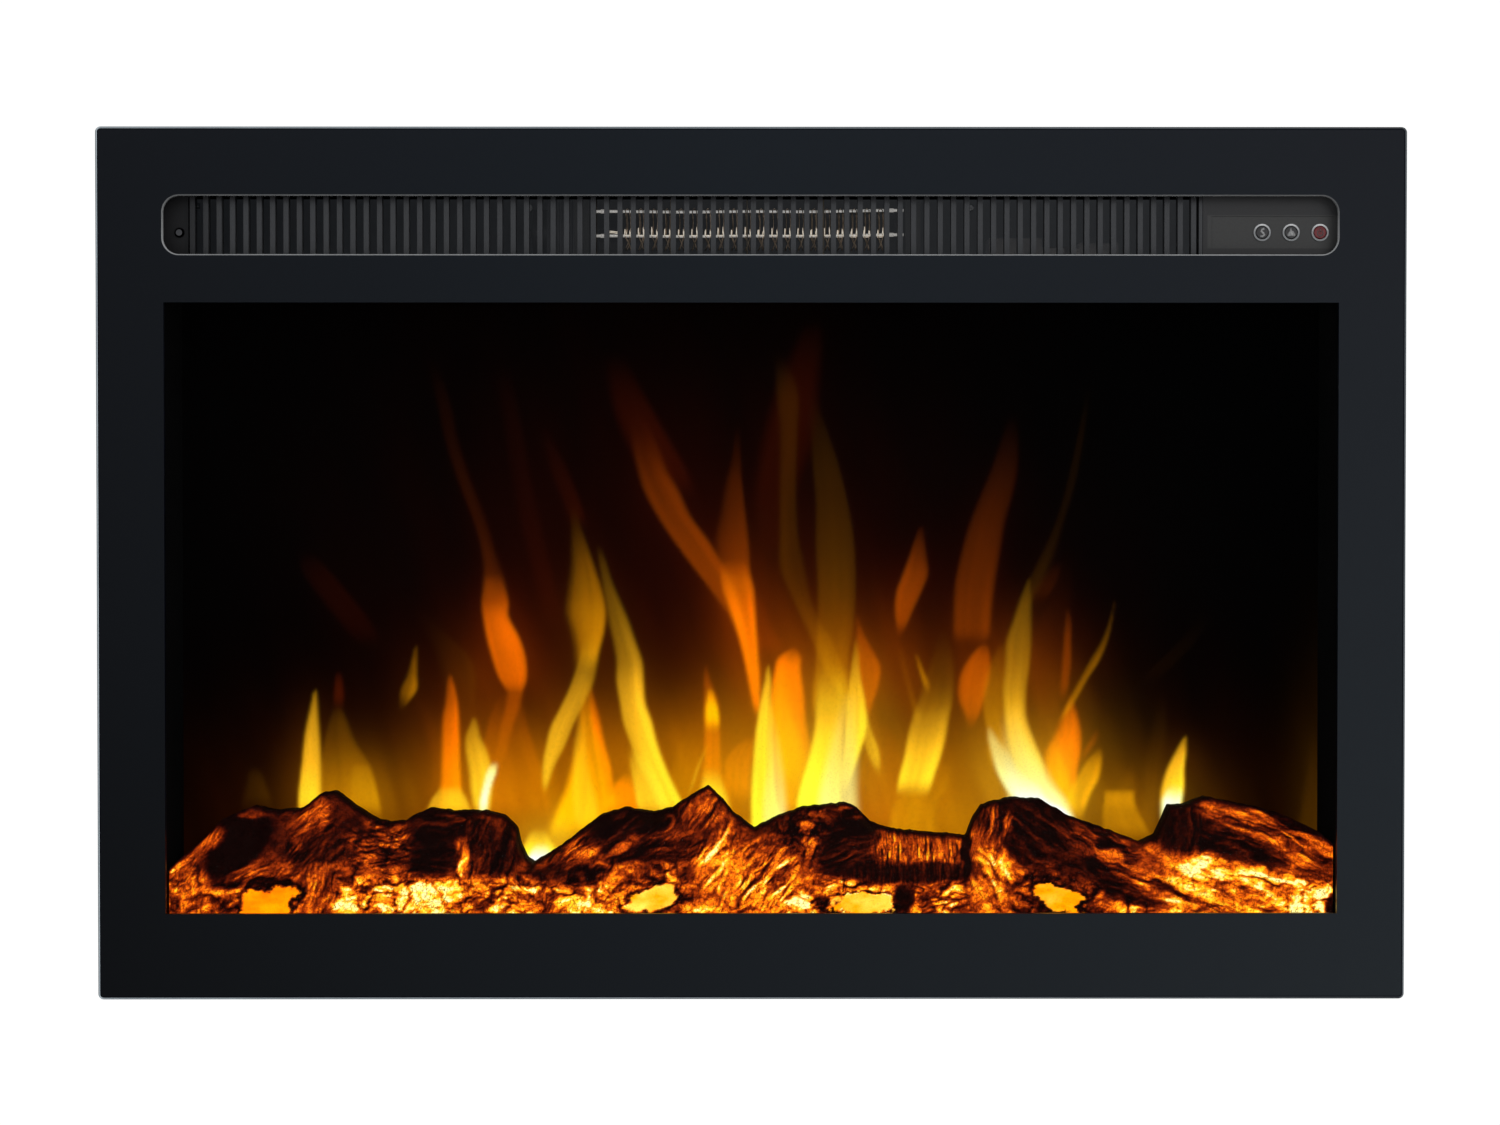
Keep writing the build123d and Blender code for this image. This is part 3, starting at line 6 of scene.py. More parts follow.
import bmesh
import bpy
import numpy as np
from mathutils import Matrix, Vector


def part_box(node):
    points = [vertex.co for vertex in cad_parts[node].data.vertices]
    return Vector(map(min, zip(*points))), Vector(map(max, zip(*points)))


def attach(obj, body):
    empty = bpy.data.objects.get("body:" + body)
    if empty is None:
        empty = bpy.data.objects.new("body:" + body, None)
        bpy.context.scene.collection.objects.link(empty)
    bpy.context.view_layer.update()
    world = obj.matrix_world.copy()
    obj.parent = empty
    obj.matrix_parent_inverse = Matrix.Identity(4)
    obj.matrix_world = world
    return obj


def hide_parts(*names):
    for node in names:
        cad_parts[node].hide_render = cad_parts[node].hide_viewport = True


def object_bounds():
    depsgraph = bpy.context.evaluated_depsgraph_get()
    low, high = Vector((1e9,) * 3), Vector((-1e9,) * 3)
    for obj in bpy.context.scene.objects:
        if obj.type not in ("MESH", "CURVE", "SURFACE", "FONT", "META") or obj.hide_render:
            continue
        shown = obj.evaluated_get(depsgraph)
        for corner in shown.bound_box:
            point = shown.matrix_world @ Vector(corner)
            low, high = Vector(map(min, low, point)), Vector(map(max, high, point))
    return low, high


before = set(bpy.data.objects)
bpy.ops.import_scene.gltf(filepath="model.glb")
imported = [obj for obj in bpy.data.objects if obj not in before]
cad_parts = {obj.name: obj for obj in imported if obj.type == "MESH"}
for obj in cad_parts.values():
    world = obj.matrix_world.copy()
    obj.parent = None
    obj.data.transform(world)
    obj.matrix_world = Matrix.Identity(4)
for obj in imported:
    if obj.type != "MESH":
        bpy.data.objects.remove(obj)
cad_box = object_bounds()
MM = 0.001

# -------- node materials


class Finish:
    """A node material under construction: helpers add nodes and return their output sockets."""

    def __init__(self, name):
        self.material = bpy.data.materials.new(name)
        self.material.use_nodes = True
        self.nodes = self.material.node_tree.nodes
        self.links = self.material.node_tree.links
        self.nodes.clear()
        self.output = self.nodes.new("ShaderNodeOutputMaterial")
        self.shader = self.nodes.new("ShaderNodeBsdfPrincipled")
        self.links.new(self.shader.outputs[0], self.output.inputs[0])
        self.place = self.nodes.new("ShaderNodeTexCoord").outputs["Object"]

    def set(self, **values):
        """Sets constants on the shader's own sockets, by their names with _ for a space."""
        for key, value in values.items():
            self.shader.inputs[key.replace("_", " ")].default_value = value
        return self

    def link(self, source, socket):
        """Feeds one of the shader's sockets from an output."""
        self.links.new(source, self.shader.inputs[socket])

    def node(self, kind, **settings):
        """A new node with its settings."""
        made = self.nodes.new(kind)
        for key, value in settings.items():
            setattr(made, key, value)
        return made

    def stretched(self, scale):
        """Object coordinates scaled by three numbers."""
        made = self.node("ShaderNodeMapping")
        made.inputs["Scale"].default_value = scale
        self.links.new(self.place, made.inputs["Vector"])
        return made.outputs[0]

    def noise(self, scale, detail=4.0, rough=0.55, where=None):
        """Soft noise from 0 to 1, with its scale in waves per metre."""
        made = self.node("ShaderNodeTexNoise")
        made.inputs["Scale"].default_value = scale
        made.inputs["Detail"].default_value = detail
        made.inputs["Roughness"].default_value = rough
        self.links.new(where or self.place, made.inputs["Vector"])
        return made.outputs["Fac"]

    def cells(self, scale, feature="F1", output="Distance", where=None):
        """Irregular cells, with their scale in cells per metre."""
        made = self.node("ShaderNodeTexVoronoi", feature=feature)
        made.inputs["Scale"].default_value = scale
        self.links.new(where or self.place, made.inputs["Vector"])
        return made.outputs[output]

    def along(self, axis, low, high):
        """How far a point is from low to high along an axis of the object, in mm, kept from 0 to 1."""
        parts = self.node("ShaderNodeSeparateXYZ")
        self.links.new(self.place, parts.inputs[0])
        return self.span(parts.outputs[axis], 0.0, 1.0, low * MM, high * MM)

    def attribute(self, name, output="Fac"):
        """A value that the mesh carries at its points."""
        return self.node("ShaderNodeAttribute", attribute_name=name).outputs[output]

    def math(self, kind, a, b):
        """One sum of two numbers or outputs."""
        made = self.node("ShaderNodeMath", operation=kind)
        for socket, value in zip(made.inputs, (a, b)):
            if isinstance(value, (int, float)):
                socket.default_value = value
            else:
                self.links.new(value, socket)
        return made.outputs[0]

    def ramp(self, value, stops):
        """Colours along a value from 0 to 1: stops are (place, (r, g, b))."""
        made = self.node("ShaderNodeValToRGB")
        elements = made.color_ramp.elements
        while len(elements) < len(stops):
            elements.new(0.5)
        for element, (place, colour) in zip(elements, stops):
            element.position = place
            element.color = (*colour, 1.0)
        self.links.new(value, made.inputs[0])
        return made.outputs[0]

    def span(self, value, low, high, start=0.0, end=1.0):
        """The value moved from start..end to low..high."""
        made = self.node("ShaderNodeMapRange")
        for socket, number in zip(list(made.inputs)[1:5], (start, end, low, high)):
            socket.default_value = number
        self.links.new(value, made.inputs[0])
        return made.outputs[0]

    def average(self, a, b):
        """The mean of two outputs."""
        return self.math("MULTIPLY", self.math("ADD", a, b), 0.5)

    def paint(self, value, stops):
        """Base colours along a value from 0 to 1."""
        self.link(self.ramp(value, stops), "Base Color")

    def roughen(self, value, low, high):
        """Roughness from low to high as a value runs from 0 to 1."""
        self.link(self.span(value, low, high), "Roughness")

    def mix(self, amount, first, second, kind="MIX"):
        """The first colour or output, blended with the second by an amount."""
        made = self.node("ShaderNodeMix", data_type="RGBA", blend_type=kind)
        sockets = [s for s in made.inputs if s.type == "RGBA"]
        for socket, value in zip((made.inputs[0], *sockets), (amount, first, second)):
            if isinstance(value, (int, float)):
                socket.default_value = value
            elif isinstance(value, tuple):
                socket.default_value = (*value, 1.0)
            else:
                self.links.new(value, socket)
        return [s for s in made.outputs if s.type == "RGBA"][0]

    def bump(self, height, depth_mm):
        """Raises the surface by a height from 0 to 1, times a depth."""
        made = self.node("ShaderNodeBump")
        made.inputs["Distance"].default_value = depth_mm * MM
        self.links.new(height, made.inputs["Height"])
        self.links.new(made.outputs[0], self.shader.inputs["Normal"])
        return self


BLACK_TO_WHITE = [(0.0, (0, 0, 0)), (1.0, (1, 1, 1))]


def tones(colour, spread):
    """A darker and a lighter neighbour of a colour."""
    dark = tuple(c * (1 - spread) for c in colour)
    light = tuple(min(1.0, c * (1 + spread)) for c in colour)
    return dark, light


def plain_finish(name, colour, rough, metal=0.0, spread=0.15, scale=60, grain=900, depth=0.02, **sockets):
    """A surface with slow colour drift, fine grain in its roughness and a shallow grain bump."""
    made = Finish(name)
    dark, light = tones(colour, spread)
    made.paint(made.noise(scale, 5), [(0.3, dark), (0.7, light)])
    fine = made.noise(grain, 3)
    made.roughen(fine, rough * 0.8, rough * 1.2)
    made.bump(fine, depth)
    return made.set(Metallic=metal, **sockets)


def brushed_finish(name, colour, rough, stretch, depth=0.01):
    """Rolled or drawn metal, with fine lines along one axis."""
    made = Finish(name)
    dark, light = tones(colour, 0.12)
    lines = made.noise(3, 4, where=made.stretched(stretch))
    patches = made.noise(25, 3)
    made.paint(made.average(lines, patches), [(0.35, dark), (0.65, light)])
    made.roughen(lines, rough * 0.7, rough * 1.3)
    return made.bump(lines, depth).set(Metallic=1.0)


# Zinc dulls where it is seen along its surface. Its crystals are counted per metre.
GRAZING_ZINC = (0.26, 0.265, 0.275, 1.0)
SPANGLES = 70


def spangled_finish(name, colour, rough):
    """Hot-dipped zinc: flat crystals of slightly different grey, each with its own shine."""
    made = Finish(name)
    dark, light = tones(colour, 0.18)
    wander = made.mix(0.02, made.place, made.node("ShaderNodeTexNoise").outputs["Color"])
    crystal = made.cells(SPANGLES, output="Color", where=wander)
    shade = made.average(crystal, made.noise(40, 6))
    made.paint(shade, [(0.25, dark), (0.75, light)])
    made.roughen(crystal, rough * 0.75, rough * 1.25)
    return made.bump(made.noise(300, 4), 0.015).set(Metallic=1.0, Specular_Tint=GRAZING_ZINC)


def powder_finish(name, colour, rough):
    """Powder-coated sheet steel with a fine orange peel."""
    return plain_finish(name, colour, rough, spread=0.12, scale=30, grain=1400, depth=0.05)


FINISHES = {
    "foam_tape": plain_finish("foam_tape", (0.02, 0.02, 0.022), 0.9, grain=2500, depth=0.15),
    "black_steel": powder_finish("black_steel", (0.010, 0.010, 0.011), 0.55),
    "foil_black": powder_finish("foil_black", (0.012, 0.012, 0.012), 0.7),
    "firebox_black": plain_finish("firebox_black", (0.0006, 0.0006, 0.0006), 0.9, scale=30, grain=1400,
                                  depth=0.05, Specular_IOR_Level=0.02),
    "galvanised": spangled_finish("galvanised", (0.46, 0.47, 0.49), 0.38),
    # Painted shade: a near-black copy of zinc for pieces seen only in shade behind the grille.
    "shaded_zinc": spangled_finish("shaded_zinc", (0.05, 0.05, 0.052), 0.6),
    "zinc": brushed_finish("zinc", (0.55, 0.56, 0.58), 0.3, (300, 300, 300)),
    "dark_screw": plain_finish("dark_screw", (0.045, 0.046, 0.05), 0.2, 1.0, 0.2, depth=0.004),
    "button_dark": plain_finish("button_dark", (0.022, 0.022, 0.023), 0.35, spread=0.3, scale=300,
                                Specular_IOR_Level=0.25),
    "button_red": plain_finish("button_red", (0.085, 0.009, 0.011), 0.3, spread=0.4, scale=300,
                               Specular_IOR_Level=0.3),
    "black_plastic": plain_finish("black_plastic", (0.018, 0.018, 0.019), 0.45, grain=1600),
    "white_plastic": plain_finish("white_plastic", (0.72, 0.71, 0.67), 0.4, spread=0.05),
    "smoked_plastic": plain_finish("smoked_plastic", (0.03, 0.01, 0.012), 0.12, spread=0.3),
    "aluminised_steel": brushed_finish("aluminised_steel", (0.50, 0.50, 0.49), 0.42, (400, 10, 400)),
    # Painted light: a faint glow keeps the rods bright inside the dark slot.
    "bright_rod": plain_finish("bright_rod", (0.88, 0.87, 0.84), 0.3, 0.35, 0.1, 500, depth=0.004,
                               Emission_Color=(1.0, 0.97, 0.92, 1.0), Emission_Strength=0.22),
    "resistance_wire": plain_finish("resistance_wire", (0.52, 0.40, 0.30), 0.3, 0.8, 0.5, 400),
    "phenolic": plain_finish("phenolic", (0.035, 0.018, 0.012), 0.35, spread=0.25),
    # Painted shade: near-black copies of aluminium and aluminised steel for the blower behind the grille.
    "impeller_aluminium": brushed_finish("impeller_aluminium", (0.045, 0.045, 0.045), 0.6, (9, 500, 500)),
    "scroll_steel": brushed_finish("scroll_steel", (0.05, 0.05, 0.05), 0.6, (400, 10, 400)),
    "bright_foil": brushed_finish("bright_foil", (0.80, 0.80, 0.82), 0.14, (30, 300, 300), depth=0.03),
    "led_lens": plain_finish("led_lens", (0.85, 0.62, 0.16), 0.25, spread=0.2, scale=900),
    "brass": brushed_finish("brass", (0.72, 0.50, 0.20), 0.28, (300, 300, 300)),
    "icon_grey": plain_finish("icon_grey", (0.15, 0.15, 0.15), 0.5, spread=0.4, scale=700),
    "icon_red": plain_finish("icon_red", (0.020, 0.004, 0.005), 0.5, spread=0.5, scale=700),
    # Painted highlight: the crimped tips glow in place of the glints of light on them.
    "glinting_tip": plain_finish("glinting_tip", (1.0, 0.93, 0.82), 0.3, 0.5, 0.12, 500, depth=0.01,
                            Emission_Color=(1.0, 0.88, 0.72, 1.0), Emission_Strength=0.50),
}


def lamination_finish():
    """A stack of thin electrical steel sheets, edges blued by heat."""
    made = Finish("lamination")
    wave = made.node("ShaderNodeTexWave", wave_type="BANDS", bands_direction="X")
    wave.inputs["Scale"].default_value = 320
    wave.inputs["Distortion"].default_value = 0.4
    made.links.new(made.place, wave.inputs["Vector"])
    sheets = wave.outputs["Fac"]
    made.paint(sheets, [(0.1, (0.02, 0.02, 0.024)), (0.8, (0.07, 0.07, 0.075))])
    made.roughen(sheets, 0.65, 0.4)
    return made.bump(sheets, 0.08).set(Metallic=1.0)


def coil_tape_finish():
    """Yellow insulating tape wound over the coil, in overlapping turns."""
    made = Finish("coil_tape")
    wave = made.node("ShaderNodeTexWave", wave_type="BANDS", bands_direction="X", wave_profile="SAW")
    wave.inputs["Scale"].default_value = 45
    made.links.new(made.place, wave.inputs["Vector"])
    turns = wave.outputs["Fac"]
    made.paint(turns, [(0.0, (0.30, 0.19, 0.02)), (0.25, (0.62, 0.42, 0.05))])
    made.roughen(made.noise(200), 0.25, 0.4)
    return made.bump(turns, 0.12)


def board_finish():
    """Green solder mask with tinned pads and the faint lines of tracks."""
    made = Finish("circuit_board")
    tracks = made.cells(110, "DISTANCE_TO_EDGE", where=made.stretched((1, 1, 0.05)))
    track = made.math("LESS_THAN", tracks, 0.09)
    pads = made.math("LESS_THAN", made.cells(330), 0.16)
    mask = made.mix(track, (0.008, 0.075, 0.026), (0.02, 0.16, 0.05))
    made.link(made.mix(pads, mask, (0.50, 0.50, 0.47)), "Base Color")
    made.roughen(pads, 0.32, 0.22)
    made.link(pads, "Metallic")
    return made.bump(made.math("ADD", track, pads), 0.03)


def mica_finish():
    """Silvery brown mica sheet, flaked in layers."""
    made = Finish("mica")
    flakes = made.cells(160, output="Color", where=made.stretched((0.2, 1, 1)))
    made.paint(made.average(flakes, made.noise(120)),
               [(0.3, (0.10, 0.075, 0.045)), (0.7, (0.26, 0.20, 0.13))])
    made.roughen(flakes, 0.25, 0.55)
    return made.bump(flakes, 0.03)


def enamel_finish():
    """Black ceramic enamel behind the clear front of the glass, with a painted reflection that makes it a
    little paler towards the right.
    """
    made = Finish("glass_enamel")
    panel_low, panel_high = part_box("front_glass")
    across = made.along("X", panel_low.x / MM, panel_high.x / MM)
    up = made.along("Z", panel_low.z / MM, panel_high.z / MM)
    # Painted reflection: the colour runs from darker at the left to paler at the right, with one run at the
    # bottom and another at the top.
    low = made.ramp(across, [(0.0, (0.0030, 0.0036, 0.0046)), (0.5, (0.0084, 0.0104, 0.0130)),
                             (1.0, (0.0145, 0.0178, 0.0210))])
    high = made.ramp(across, [(0.0, (0.0062, 0.0073, 0.0096)), (0.5, (0.0092, 0.0117, 0.0152)),
                              (1.0, (0.0104, 0.0117, 0.0147))])
    grain = made.span(made.noise(1500, 3), 0.75, 1.25)
    made.link(made.mix(grain, (0.0, 0.0, 0.0), made.mix(up, low, high)), "Base Color")
    made.roughen(made.noise(9, 3), 0.045, 0.075)
    return made.bump(made.noise(6, 2), 0.02).set(Specular_IOR_Level=0.03)


def glass_edge_finish(name, dark, light):
    """Ground and polished glass edge, whose colour is painted light: brighter where it would gather light
    from the pane.
    """
    made = Finish(name)
    uneven = made.math("MULTIPLY", made.attribute("gather"), made.span(made.noise(45, 3), 0.8, 1.2))
    made.paint(uneven, [(0.0, dark), (1.0, light)])
    made.roughen(made.noise(900, 3), 0.12, 0.28)
    return made.bump(made.noise(1500, 2), 0.01).set(Specular_IOR_Level=0.02)


def pane_finish():
    """Clear tempered glass: nearly all of what is behind shows through."""
    made = Finish("clear_glass")
    made.paint(made.noise(5, 2), [(0.3, (0.0, 0.0, 0.0)), (0.7, (0.002, 0.003, 0.003))])
    made.roughen(made.noise(8, 3), 0.02, 0.05)
    made.link(made.span(made.noise(3, 2), 0.008, 0.014), "Alpha")
    return made.set(Specular_IOR_Level=0.2)


# Height of the panel's middle in metres, and the level in mm above which the grille lets light in, shown as
# a painted glow.
MIDDLE_Z = sum(corner.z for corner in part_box("front_glass")) / 2
GRILLE_LEVEL = 400


def grille_light(made):
    """A painted glow for the little light that comes in past the grille, more towards the right."""
    dim_end, light_end = -330, 240
    across = made.along("X", dim_end, light_end)
    return made.ramp(across, [(0.0, (0.0062, 0.0068, 0.0078)), (1.0, (0.0165, 0.0175, 0.0190))])


def casing_sheet_finish():
    """Galvanised sheet, bright outside, with painted dark grey shade on inward faces and a painted glow near
    the grille.
    """
    made = Finish("casing_sheet")
    crystal = made.cells(SPANGLES, output="Color")
    shade = made.average(crystal, made.noise(40, 6))
    zinc = made.ramp(shade, [(0.25, (0.38, 0.39, 0.41)), (0.75, (0.54, 0.55, 0.57))])
    # Painted shade: dark grey, without metal shine, on the faces that look inwards.
    inner_shade = made.ramp(made.noise(50, 3), [(0.3, (0.11, 0.115, 0.125)), (0.7, (0.15, 0.155, 0.165))])
    middle = made.node("ShaderNodeVectorMath", operation="SUBTRACT")
    made.links.new(made.place, middle.inputs[0])
    middle.inputs[1].default_value = (0.0, 0.0, MIDDLE_Z)
    facing = made.node("ShaderNodeVectorMath", operation="DOT_PRODUCT")
    made.links.new(middle.outputs[0], facing.inputs[0])
    made.links.new(made.node("ShaderNodeTexCoord").outputs["Normal"], facing.inputs[1])
    outward = made.math("GREATER_THAN", facing.outputs["Value"], 0.0)
    made.link(made.mix(outward, inner_shade, zinc), "Base Color")
    made.link(outward, "Metallic")
    made.link(made.mix(outward, (0.8, 0.8, 0.8), made.span(crystal, 0.38, 0.56)), "Roughness")
    # Painted glow on the inward faces above the grille's level.
    high_up = made.along("Z", GRILLE_LEVEL, GRILLE_LEVEL + 4)
    by_grille = made.math("MULTIPLY", high_up, made.math("SUBTRACT", 1.0, outward))
    made.link(made.mix(by_grille, (0.0, 0.0, 0.0), grille_light(made)), "Emission Color")
    return made.bump(made.noise(300, 4), 0.015).set(
        Specular_IOR_Level=0.3, Specular_Tint=GRAZING_ZINC, Emission_Strength=1.0)


# Insets in mm from the grille's box, where its shade ends, and from the fascia's, of its paler field.
GRILLE_DARK, GRILLE_CLEAR, GRILLE_TOP_DARK, GRILLE_TOP_CLEAR = 12.5, 40.5, 10.0, 15.0
FIELD_BELOW, FIELD_ABOVE, FIELD_LEFT = 6.4, 11.6, 2.3


def grille_finish():
    """Charcoal grille plastic, with painted shade towards its left-hand end and along its top."""
    made = Finish("grille_plastic")
    grain = made.noise(1800, 3)
    body = made.ramp(grain, [(0.3, (0.025, 0.026, 0.028)), (0.7, (0.036, 0.037, 0.040))])
    low, high = (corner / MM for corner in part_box("outlet_grille"))
    by_end = made.along("X", low.x + GRILLE_DARK, low.x + GRILLE_CLEAR)
    by_top = made.along("Z", high.z - GRILLE_TOP_DARK, high.z - GRILLE_TOP_CLEAR)
    # Painted shade: near black towards the left-hand end and in a band along the top.
    shade = made.math("MULTIPLY", by_end, by_top)
    made.link(made.mix(shade, (0.004, 0.004, 0.005), body), "Base Color")
    made.roughen(grain, 0.5, 0.7)
    return made.bump(grain, 0.02).set(Specular_IOR_Level=0.16)


def fascia_finish():
    """Satin control panel with a paler field behind the buttons."""
    made = Finish("fascia_plastic")
    grain = made.noise(1500, 4, 0.7)
    low, high = (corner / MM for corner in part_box("control_fascia"))
    bottom, top = low.z + FIELD_BELOW, high.z - FIELD_ABOVE
    left = low.x + FIELD_LEFT
    field = made.math("MULTIPLY", made.along("Z", bottom, bottom + 0.6), made.along("Z", top, top - 0.6))
    field = made.math("MULTIPLY", field, made.along("X", left, left + 0.7))
    rim = made.ramp(grain, [(0.3, (0.012, 0.012, 0.013)), (0.7, (0.019, 0.019, 0.020))])
    face = made.ramp(grain, [(0.3, (0.021, 0.021, 0.021)), (0.7, (0.032, 0.032, 0.032))])
    made.link(made.mix(field, rim, face), "Base Color")
    made.roughen(grain, 0.5, 0.75)
    return made.bump(grain, 0.04).set(Specular_IOR_Level=0.2)


def duct_finish():
    """Heater duct, near black with painted shade, with a painted glow for the little light that comes in
    past the grille.
    """
    made = Finish("heated_duct")
    lines = made.noise(3, 4, where=made.stretched((400, 10, 400)))
    # Painted shade: the aluminised duct is coloured near black.
    made.paint(lines, [(0.3, (0.017, 0.0165, 0.016)), (0.7, (0.036, 0.035, 0.034))])
    made.link(grille_light(made), "Emission Color")
    made.roughen(lines, 0.5, 0.7)
    return made.bump(lines, 0.01).set(Metallic=0.6, Emission_Strength=1.0)


def bezel_finish():
    """Chromed rings with a painted highlight, brighter towards the top where they look up to the light."""
    made = Finish("chrome")
    low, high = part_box("button_bezels")
    # Painted highlight: the rings' colour runs from dark below to bright at the top.
    shine = [(0.0, (0.13, 0.135, 0.14)), (0.55, (0.15, 0.155, 0.16)), (1.0, (0.36, 0.365, 0.37))]
    made.paint(made.along("Z", low.z / MM, high.z / MM), shine)
    grain = made.noise(500, 3)
    made.roughen(grain, 0.26, 0.38)
    return made.bump(grain, 0.004).set(Metallic=1.0)


FINISHES.update(
    chrome=bezel_finish(), heated_duct=duct_finish(), casing_sheet=casing_sheet_finish(),
    grille_plastic=grille_finish(), fascia_plastic=fascia_finish(),
    lamination=lamination_finish(), coil_tape=coil_tape_finish(), circuit_board=board_finish(),
    mica=mica_finish(), enamel=enamel_finish(), pane=pane_finish(),
    # Painted light: the ground edges and the slot's cut edge run from dark to light by the light painted at
    # each point.
    glass_edge=glass_edge_finish("glass_edge", (0.0, 0.0005, 0.002), (0.84, 0.94, 1.0)),
    cut_edge=glass_edge_finish("cut_edge", (0.0, 0.0, 0.0), (0.50, 0.505, 0.51)),
    # Painted shade: near black for the band just inside the outer edge and for the window's cut edge.
    edge_shade=plain_finish("edge_shade", (0.0006, 0.0009, 0.003), 0.3, spread=0.4,
                            Specular_IOR_Level=0.02),
)

# Pieces behind the grille's slats get a painted glow for the little light that comes in between them.
for name in ("shaded_zinc", "lamination", "coil_tape", "phenolic", "circuit_board", "impeller_aluminium",
             "scroll_steel"):
    FINISHES[name].link(grille_light(FINISHES[name]), "Emission Color")
    FINISHES[name].set(Emission_Strength=1.0)

# -------- carried-over CAD nodes

WEARS = {
    "foam_tape": ["glass_tape"],
    "black_steel": ["front_frame"],
    "firebox_black": ["firebox_side_left", "firebox_side_right", "log_tray", "plenum_shelf"],
    "casing_sheet": ["casing_base", "casing_side_left", "casing_side_right", "casing_top", "back_panel"],
    "galvanised": ["spindle_motor_bracket", "spindle_bracket"],
    "shaded_zinc": ["motor_brackets", "blower_shaft"],
    "zinc": ["hanging_studs", "casing_screws", "spindle_rod", "thermal_cutouts"],
    "grille_plastic": ["outlet_grille"],
    "chrome": ["button_bezels"],
    "dark_screw": ["grille_screws"],
    "heated_duct": ["heater_duct"],
    "fascia_plastic": ["control_fascia"],
    "button_dark": ["button_heat", "button_flame"],
    "button_red": ["button_power"],
    "circuit_board": ["control_board", "flame_led_board", "ember_led_board", "power_board"],
    "black_plastic": ["touch_switches", "spindle_bush", "spindle_coupling", "blower_bush", "cord_gland"],
    "white_plastic": ["board_standoffs", "terminal_block", "spindle_motor"],
    "smoked_plastic": ["remote_receiver"],
    "aluminised_steel": ["led_heatsink"],
    "scroll_steel": ["blower_scroll"],
    "mica": ["mica_cards"],
    "phenolic": ["board_components"],
    "impeller_aluminium": ["blower_impeller"],
    "lamination": ["motor_stack", "motor_rotor"],
    "coil_tape": ["motor_coil"],
    "bright_foil": ["spindle_reflectors"],
    "led_lens": ["flame_leds", "ember_leds"],
    "brass": ["earth_stud"],
    "foil_black": ["flame_template"],
}


def wear(piece, finish):
    """Gives a piece one finish in place of what it had."""
    piece.data.materials.clear()
    piece.data.materials.append(FINISHES[finish].material)


for finish, nodes in WEARS.items():
    for node in nodes:
        wear(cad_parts[node], finish)

# -------- mesh helpers


def add_piece(name, vertices, faces, finish, smooth=True):
    """A mesh object from arrays of points and faces, on the root body."""
    mesh = bpy.data.meshes.new(name)
    mesh.from_pydata([tuple(v) for v in vertices], [], [tuple(f) for f in faces])
    mesh.validate()
    piece = bpy.data.objects.new(name, mesh)
    bpy.context.scene.collection.objects.link(piece)
    if smooth:
        mesh.shade_smooth()
    mesh.materials.append(FINISHES[finish].material)
    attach(piece, "root")
    return piece


def set_floats(mesh, name, values):
    """One number for each vertex."""
    attribute = mesh.attributes.new(name, "FLOAT", "POINT")
    attribute.data.foreach_set("value", np.asarray(values, np.float32).ravel())


def set_colours(mesh, name, values):
    """Linear colours, one for each vertex, from an array of rows of three."""
    attribute = mesh.attributes.new(name, "FLOAT_COLOR", "POINT")
    full = np.ones((len(values), 4), np.float32)
    full[:, :3] = values
    attribute.data.foreach_set("color", full.ravel())


def ease(t):
    """A smooth step from 0 to 1."""
    t = np.clip(t, 0.0, 1.0)
    return t * t * (3 - 2 * t)


def grid_faces(rows, columns):
    """Quads over a grid of vertices stored row by row."""
    r, c = np.meshgrid(np.arange(rows - 1), np.arange(columns - 1), indexing="ij")
    a = (r * columns + c).ravel()
    return np.stack([a, a + 1, a + columns + 1, a + columns], axis=1)


def rounded_outline(low_x, high_x, low_z, high_z, radius, steps):
    """Points round a rectangle with rounded corners, anticlockwise as seen from the front."""
    points = []
    corners = [(high_x - radius, low_z + radius, -90), (high_x - radius, high_z - radius, 0),
               (low_x + radius, high_z - radius, 90), (low_x + radius, low_z + radius, 180)]
    for x, z, start in corners:
        for k in range(steps + 1):
            angle = math.radians(start + 90 * k / steps)
            points.append((x + radius * math.cos(angle), z + radius * math.sin(angle)))
    return points


# -------- the glass front

# The glass in mm: what surrounds the air slot and the window, corner radii, and widths of ground edges and
# of a band of painted shade.
SLOT_LEFT, SLOT_RIGHT, SLOT_ABOVE, SLOT_HEIGHT = 39.1, 40.0, 40.1, 33.9
WINDOW_SIDE, WINDOW_BELOW, WINDOW_HEIGHT = 39.5, 50.0, 356.0
PANEL_CORNER, SLOT_CORNER, WINDOW_CORNER = 3.2, 9.5, 0.2
BEVEL, SLOT_BEVEL, SHADED_EDGE = 1.2, 0.7, 0.6
PANE_GAP, PANE_BEVEL, PANE_CORNER = 0.02, 0.3, 0.4


def glass_ring(bm, box, radius, y, inset=0.0, steps=10):
    """Vertices round a box (low x, high x, low z, high z), drawn in by an inset."""
    x0, x1, z0, z1 = box
    corner = max(radius - inset, 1e-5)
    outline = rounded_outline(x0 + inset, x1 - inset, z0 + inset, z1 - inset, corner, steps)
    return [bm.verts.new((x, y, z)) for x, z in outline]


def glass_wall(bm, first, second, material, flip=False):
    """A strip of faces between two rings."""
    for k in range(len(first)):
        n = (k + 1) % len(first)
        corners = (first[k], first[n], second[n], second[k])
        bm.faces.new(corners[::-1] if flip else corners).material_index = material


